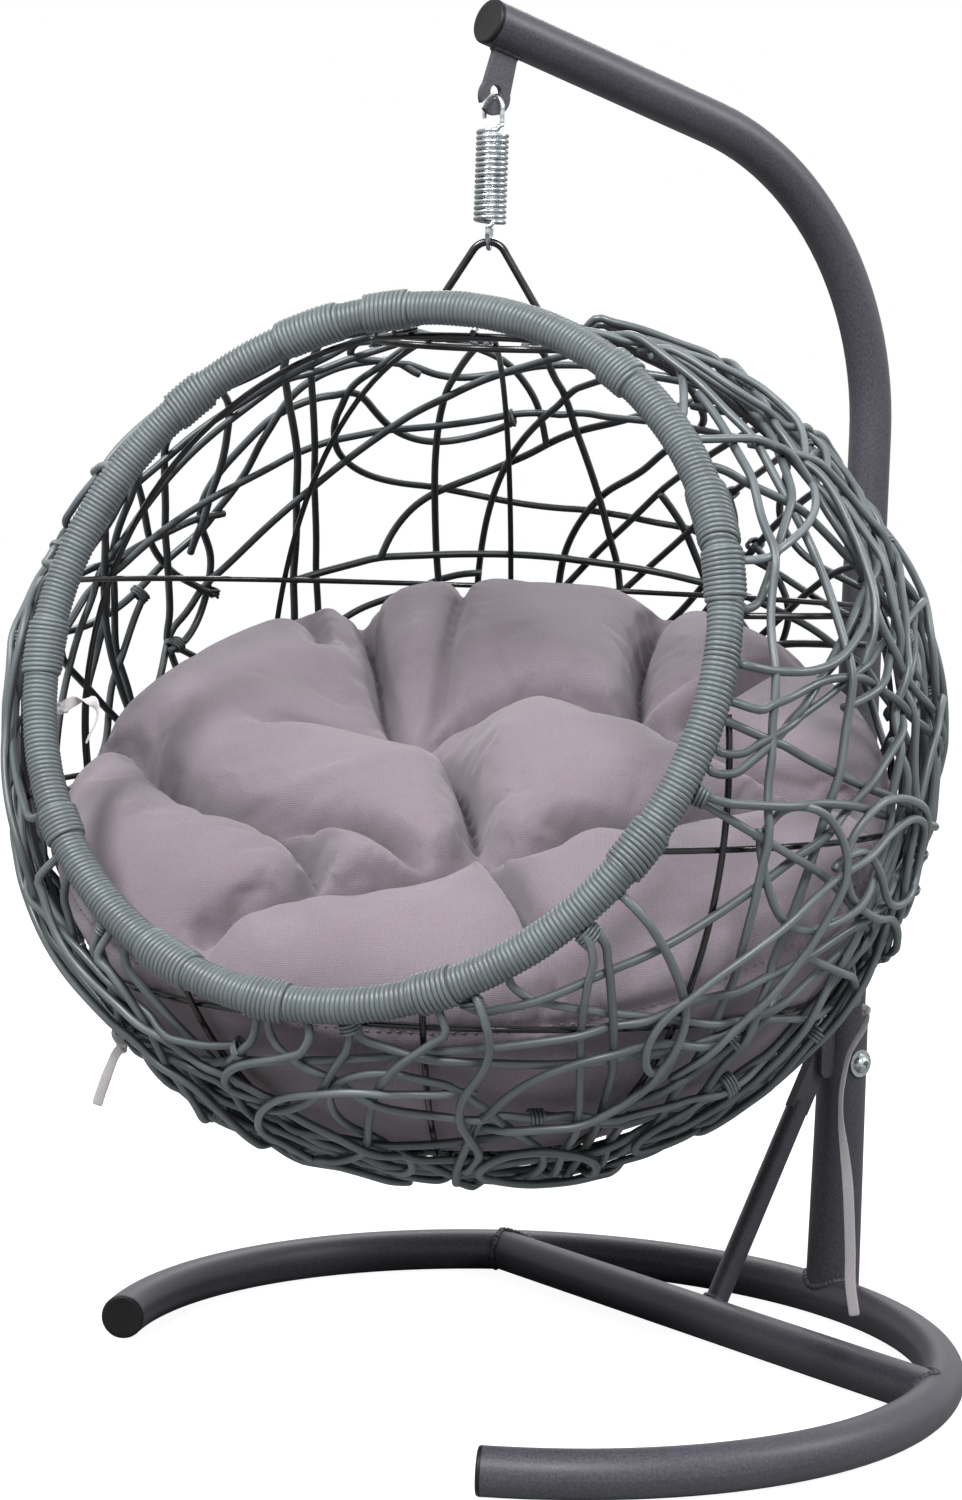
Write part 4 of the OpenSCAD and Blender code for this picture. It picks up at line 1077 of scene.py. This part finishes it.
seam_out = np.array([hit[1] for hit in on_skin])
tree = nearby(seam_line)
normals = np.array([v.normal for v in pad.data.vertices])
from_seam = np.array([tree.find(p)[2] for p in co])
co -= normals * (SEAM_DEEP * np.exp(-(from_seam / SEAM_WIDE) ** 2))[:, None]
# creases are for the top alone, and come in over 8 mm above the edge
upper = np.clip((co - NEST) @ PAD_UP / MM / 8 + PAD_DROP / MM / 8, 0, 1)
# painted shade for the creases: a narrow dark line and a broader darkening round it
painted_shade = (0.78 * creased(co, 3.2, 1.0) + 0.24 * creased(co, 12.0, 1.0)) * upper
co -= PAD_UP * (creased(co, CREASE_WIDE, CREASE_DEEP) * upper)[:, None]
set_coordinates(pad.data, co)
pad.data.attributes.new("fold", "FLOAT", "POINT").data.foreach_set(
    "value", painted_shade.astype(np.float32))
pad.data.polygons.foreach_set("use_smooth", [True] * len(pad.data.polygons))
pad.data.materials.clear()
pad.data.materials.append(cloth)
place(pad, "basket", "cushion")

# %% Stitches
STITCH, THREAD = 6.5 * MM, 0.55 * MM
mesh = Mesh()
run = run_along(seam_line)
for at in np.arange(0, run[-1] - 4 * MM, STITCH):
    points = np.array([[np.interp(at + x * MM, run, seam_line[:, k]) for k in range(3)]
                       for x in (0, 1.6, 3.2)])
    lift = np.array([np.interp(at, run, seam_out[:, k]) for k in range(3)])
    dip = np.array([-0.9, 0.1, -0.9]) * MM - 2.4 * MM
    sweep(mesh, points + np.outer(dip, lift), THREAD, 6)
place(mesh.make("seam_stitches", thread), "basket")
print("seam", round(float(run[-1]), 2), "m long")


# %% [markdown]
# ## Buttons
#
# A metal button covered with the same cloth: a low dome whose cover is gathered under its edge.
# One sits in the tuft and one under the pad, and a cord pulls them together through the filling.

# %% Covered buttons
DOME = ((2, 6.0), (4.5, 5.6), (7, 4.6), (8.7, 3.2), (9.4, 1.8), (9.3, 0.6), (8.6, 0.1), (5, 0.0))
PLEATS = 16


def covered_button(name, centre, facing, node):
    """A button from rings of a radius and height in mm, with pleats where they are low."""
    a = unit(np.cross(facing, [0.2, 0.9, 0.3]))
    b = np.cross(facing, a)
    turn = np.linspace(0, TAU, 48, endpoint=False)
    rows = []
    for r, h in DOME:
        wide = r * (1 + (0.035 if h < 3.4 else 0.0) * np.cos(PLEATS * turn))
        ring = np.outer(wide * np.cos(turn), a) + np.outer(wide * np.sin(turn), b)
        rows.append(centre + MM * ring + facing * h * MM)
    mesh = Mesh()
    mesh.add(np.vstack([centre[None] + facing * 6.1 * MM, *rows, centre[None]]),
             closed_faces(48, len(rows)))
    return place(mesh.make(name, cloth), "basket", node)


def on_pad(point, facing):
    """Where a ray through a point meets the cushion's skin."""
    tree = BVHTree.FromObject(pad, bpy.context.evaluated_depsgraph_get())
    hit = tree.ray_cast(Vector(point + facing * 0.2), Vector(-facing))
    return np.array(hit[0]) if hit[0] is not None else point


for name, point, facing, sunk in (("front", tuft, PAD_UP, 1.0), ("back", foot, -PAD_UP, 4.0)):
    covered_button(name + "_covered_button", on_pad(point, facing) - facing * sunk * MM, facing,
                   name + "_button")
    print(name, "button at", (1000 * point).round().tolist(), "mm")

# %% [markdown]
# ## The spring
#
# Seventeen turns of 3 mm wire. Its top hangs from the arm and its bottom carries the nest, and the
# coil rides on neither body.

# %% Spring coil
HANG_Y = HANG * MM
COIL_R, WIRE, COIL_TOP, COIL_LOW, TURNS = 9.3 * MM, 1.5 * MM, 822.005 * MM, 763.355 * MM, 17
BEND, UPRIGHT = 3 * MM, 4.6 * MM                # the bend at each end, and how far the wire rises
LOW_END = -math.pi / 4                          # where round the coil its lower end stands
bend = BEND / COIL_R


def on_coil(angle, z):
    return np.stack([COIL_R * np.cos(angle), HANG_Y + COIL_R * np.sin(angle), z], -1)


def riser(angle, z, up, around):
    """Wire that leaves the coil and turns upright over a quarter bend."""
    t = np.linspace(0, math.pi / 2, 8)
    line = on_coil(angle + around * bend * np.cos(t), z + up * BEND * np.sin(t))
    return np.vstack([line[1:], on_coil(angle, z + up * UPRIGHT)])


t = np.linspace(0, 1, TURNS * 28)
coil = on_coil(LOW_END + bend + (TAU * TURNS - LOW_END - 2 * bend) * t,
               COIL_LOW + (COIL_TOP - COIL_LOW) * t)
top_end = riser(0.0, COIL_TOP, 1, -1)
low_end = riser(LOW_END, COIL_LOW, -1, 1)
mesh = Mesh()
sweep(mesh, np.vstack([low_end[::-1], coil, top_end]), WIRE, 12)
spring = place(mesh.make("spring_wire_coil", zinc), None, "spring_coil")
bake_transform(spring)
print("spring of", round(float(run_along(coil)[-1]), 2), "m of wire")

# %% [markdown]
# ## Weld beads
#
# The stand's tubes are joined by hand-run welds, which stay visible under the coat as a line of
# small overlapping ripples. Each bead follows the line where two tubes meet: the lower post on the
# base, the brace's two ends in it, the strut's foot on the brace, and the hook plate under the arm.

# %% Weld beads
BASE_R, TUBE, POST_Y, BRACE_Y = 280.0, 15.0, 287.0, 160.0          # these measures are in mm
POST_WELD, STRUT_R, PLATE_HALF = 19.6, 8.1, 2.4
STRUT_FOOT, STRUT_TOP = (168.0, 15.0), (287 - 34.5 / 2 - 5, 196)
ARM_Z, ARM_SLOPE = 889.9, math.radians(13)


def bead(mesh, line, radius=2.3 * MM, closed=True):
    line = np.asarray(line, float)
    if closed:
        line = np.vstack([line, line[:2]])
    line = spline(line, 0.9 * MM)
    run = run_along(line)
    ripple = (1 + 0.16 * np.sin(run / (3.1 * MM) * TAU) + 0.08 * np.sin(run / (7.7 * MM) * TAU))
    sweep(mesh, line, radius * ripple)


welds = Mesh()
turn = np.linspace(0, TAU, 72, endpoint=False)
x, y = POST_WELD * np.cos(turn), POST_Y + POST_WELD * np.sin(turn)
over = np.hypot(x, y) - BASE_R
bead(welds, MM * np.stack([x, y, TUBE + np.sqrt(np.maximum(TUBE ** 2 - over ** 2, 1))], 1))
for side in (-1, 1):
    y, z = BRACE_Y + TUBE * np.cos(turn), TUBE + TUBE * np.sin(turn)
    x = np.sqrt((BASE_R - TUBE * np.abs(np.cos(turn))) ** 2 - y ** 2)
    line = np.roll(np.stack([side * x, y, z], 1), 18, axis=0)
    bead(welds, MM * line[line[:, 2] > 2.5], closed=False)         # it stops short of the floor
lean = math.atan2(STRUT_TOP[0] - STRUT_FOOT[0], STRUT_TOP[1] - STRUT_FOOT[1])
axis = np.array([0, math.sin(lean), math.cos(lean)])
fore = np.array([0, math.cos(lean), -math.sin(lean)])
ring = []
for a in turn:                      # along each line of the strut's skin, to where it is clear
    p = np.array([0, *STRUT_FOOT]) + STRUT_R * (math.cos(a) * np.array([1.0, 0, 0])
                                                + math.sin(a) * fore)
    dy, dz = p[1] - BRACE_Y, p[2] - TUBE
    b, c = dy * axis[1] + dz * axis[2], dy * dy + dz * dz - (TUBE + 0.05) ** 2
    ring.append(p + axis * (-b + math.sqrt(max(b * b - c, 0))))
bead(welds, MM * np.array(ring))
place(welds.make("stand_weld_beads", steel), "stand")

plate = Mesh()
y = np.linspace(HANG - 2, HANG + 20, 12)
z = ARM_Z - (y - HANG) * math.tan(ARM_SLOPE) - TUBE / math.cos(ARM_SLOPE) + 0.3
for side in (-1, 1):
    line = np.stack([np.full(12, side * PLATE_HALF), y, z], 1)
    bead(plate, MM * line, 1.7 * MM, closed=False)
place(plate.make("hook_plate_weld_beads", steel), "stand")
print("weld beads", welds.count + plate.count, "points")


# %% [markdown]
# ## End caps
#
# Black plugs close the tube's three open ends: a flange with a rounded edge and a face that is
# very slightly dished, as moulded plastic is when it cools.

# %% End caps
# radius and height in mm, from the dished face over the flange to the plug inside the tube
PLUG = ((2, 2.4), (5, 2.45), (9, 2.6), (11.5, 2.85), (13.3, 3.0), (14.2, 2.75), (14.8, 2.0),
        (15.0, 1.0), (14.95, 0.02), (13.4, 0.02), (13.3, -13.8))
GAP, ARM_END = math.radians(46.5), 4.5          # half the base's opening, and the arm past the hook


def end_cap(mesh, centre, facing):
    a = unit(np.cross(facing, [0, 0, 1]))
    b = np.cross(facing, a)
    turn = np.linspace(0, TAU, 64, endpoint=False)
    disc = np.outer(np.cos(turn), a) + np.outer(np.sin(turn), b)
    rows = [centre + MM * (r * disc + h * facing) for r, h in PLUG]
    front, back = (centre + MM * PLUG[k][1] * facing for k in (0, -1))
    mesh.add(np.vstack([front[None], *rows, back[None]]), closed_faces(64, len(rows)))


base_caps, arm_cap = Mesh(), Mesh()
for sign in (1, -1):
    at = -math.pi / 2 + sign * GAP
    end_cap(base_caps, MM * np.array([BASE_R * math.cos(at), BASE_R * math.sin(at), TUBE]),
            sign * np.array([math.sin(at), -math.cos(at), 0]))
place(base_caps.make("base_tube_caps", cap_plastic), "stand", "base_caps")
end_cap(arm_cap, MM * np.array([0, HANG - ARM_END, ARM_Z + ARM_END * math.tan(ARM_SLOPE)]),
        np.array([0, -math.cos(ARM_SLOPE), math.sin(ARM_SLOPE)]))
place(arm_cap.make("arm_tube_cap", cap_plastic), "stand", "arm_cap")
print("end caps", base_caps.count + arm_cap.count, "points")

# %% [markdown]
# ## Studio
#
# A pale floor and a white surround, as in a product shot. Four large soft lamps stand round the
# chair: one in front, one at the front right, and two weaker ones behind it that draw the edges.
# The surround is white where the camera or a reflection sees it, and a dim plain light everywhere
# else, so that colours render as they are written. The floor glows for the camera alone, so it
# looks white too, and keeps the chair's shadow.

# %% Studio
FILL, FLOOR_GLOW = 0.17, 0.94
LAMPS = {"key": ((0.3, -2.1, 2.5), 0.4, 0.8, 84),          # place, height it aims at, size, watts
         "side": ((2.1, -1.2, 2.4), 0.45, 0.8, 72),
         "edge": ((1.7, 1.9, 2.1), 0.5, 0.8, 38),
         "back": ((-1.7, 1.5, 2.2), 0.5, 1.2, 24)}
scene.view_settings.view_transform = "Standard"
world = bpy.data.worlds.new("studio")
scene.world = world
world.use_nodes = True
tree = world.node_tree
path = add(tree, "LightPath")
seen = add(tree, "Math", {0: path["Is Glossy Ray"], 1: path["Is Transmission Ray"]},
           operation="MAXIMUM")[0]
seen = add(tree, "Math", {0: path["Is Camera Ray"], 1: seen}, operation="MAXIMUM")[0]
level = add(tree, "Math", {0: seen, 1: 1 - FILL, 2: FILL}, operation="MULTIPLY_ADD")[0]
fill(tree, tree.nodes["Background"], {"Strength": level, "Color": (1, 1, 1, 1)})

floor_data = bpy.data.meshes.new("floor")
corners = [(-30, -30, 0), (30, -30, 0), (30, 30, 0), (-30, 30, 0)]
floor_data.from_pydata(corners, [], [(0, 1, 2, 3)])
floor = put("floor", floor_data)
material, tree, skin = finish_named("matt_white_floor")
glow = add(tree, "Math", {0: add(tree, "LightPath")["Is Camera Ray"], 1: FLOOR_GLOW},
           operation="MULTIPLY")[0]
fill(tree, skin, {"Base Color": linear("#a8a8a8"), "Roughness": 1.0, "Specular IOR Level": 0.0,
                  "Emission Color": (1, 1, 1, 1), "Emission Strength": glow})
floor_data.materials.append(material)

for name, (where, aim, size, power) in LAMPS.items():
    data = bpy.data.lights.new(name, "AREA")
    data.shape, data.size, data.energy = "DISK", size, power
    lamp = put(name, data)
    lamp.location = where
    lamp.rotation_mode = "QUATERNION"
    lamp.rotation_quaternion = (Vector((0, 0, aim)) - Vector(where)).to_track_quat("-Z", "Y")
print(len(LAMPS), "lamps")
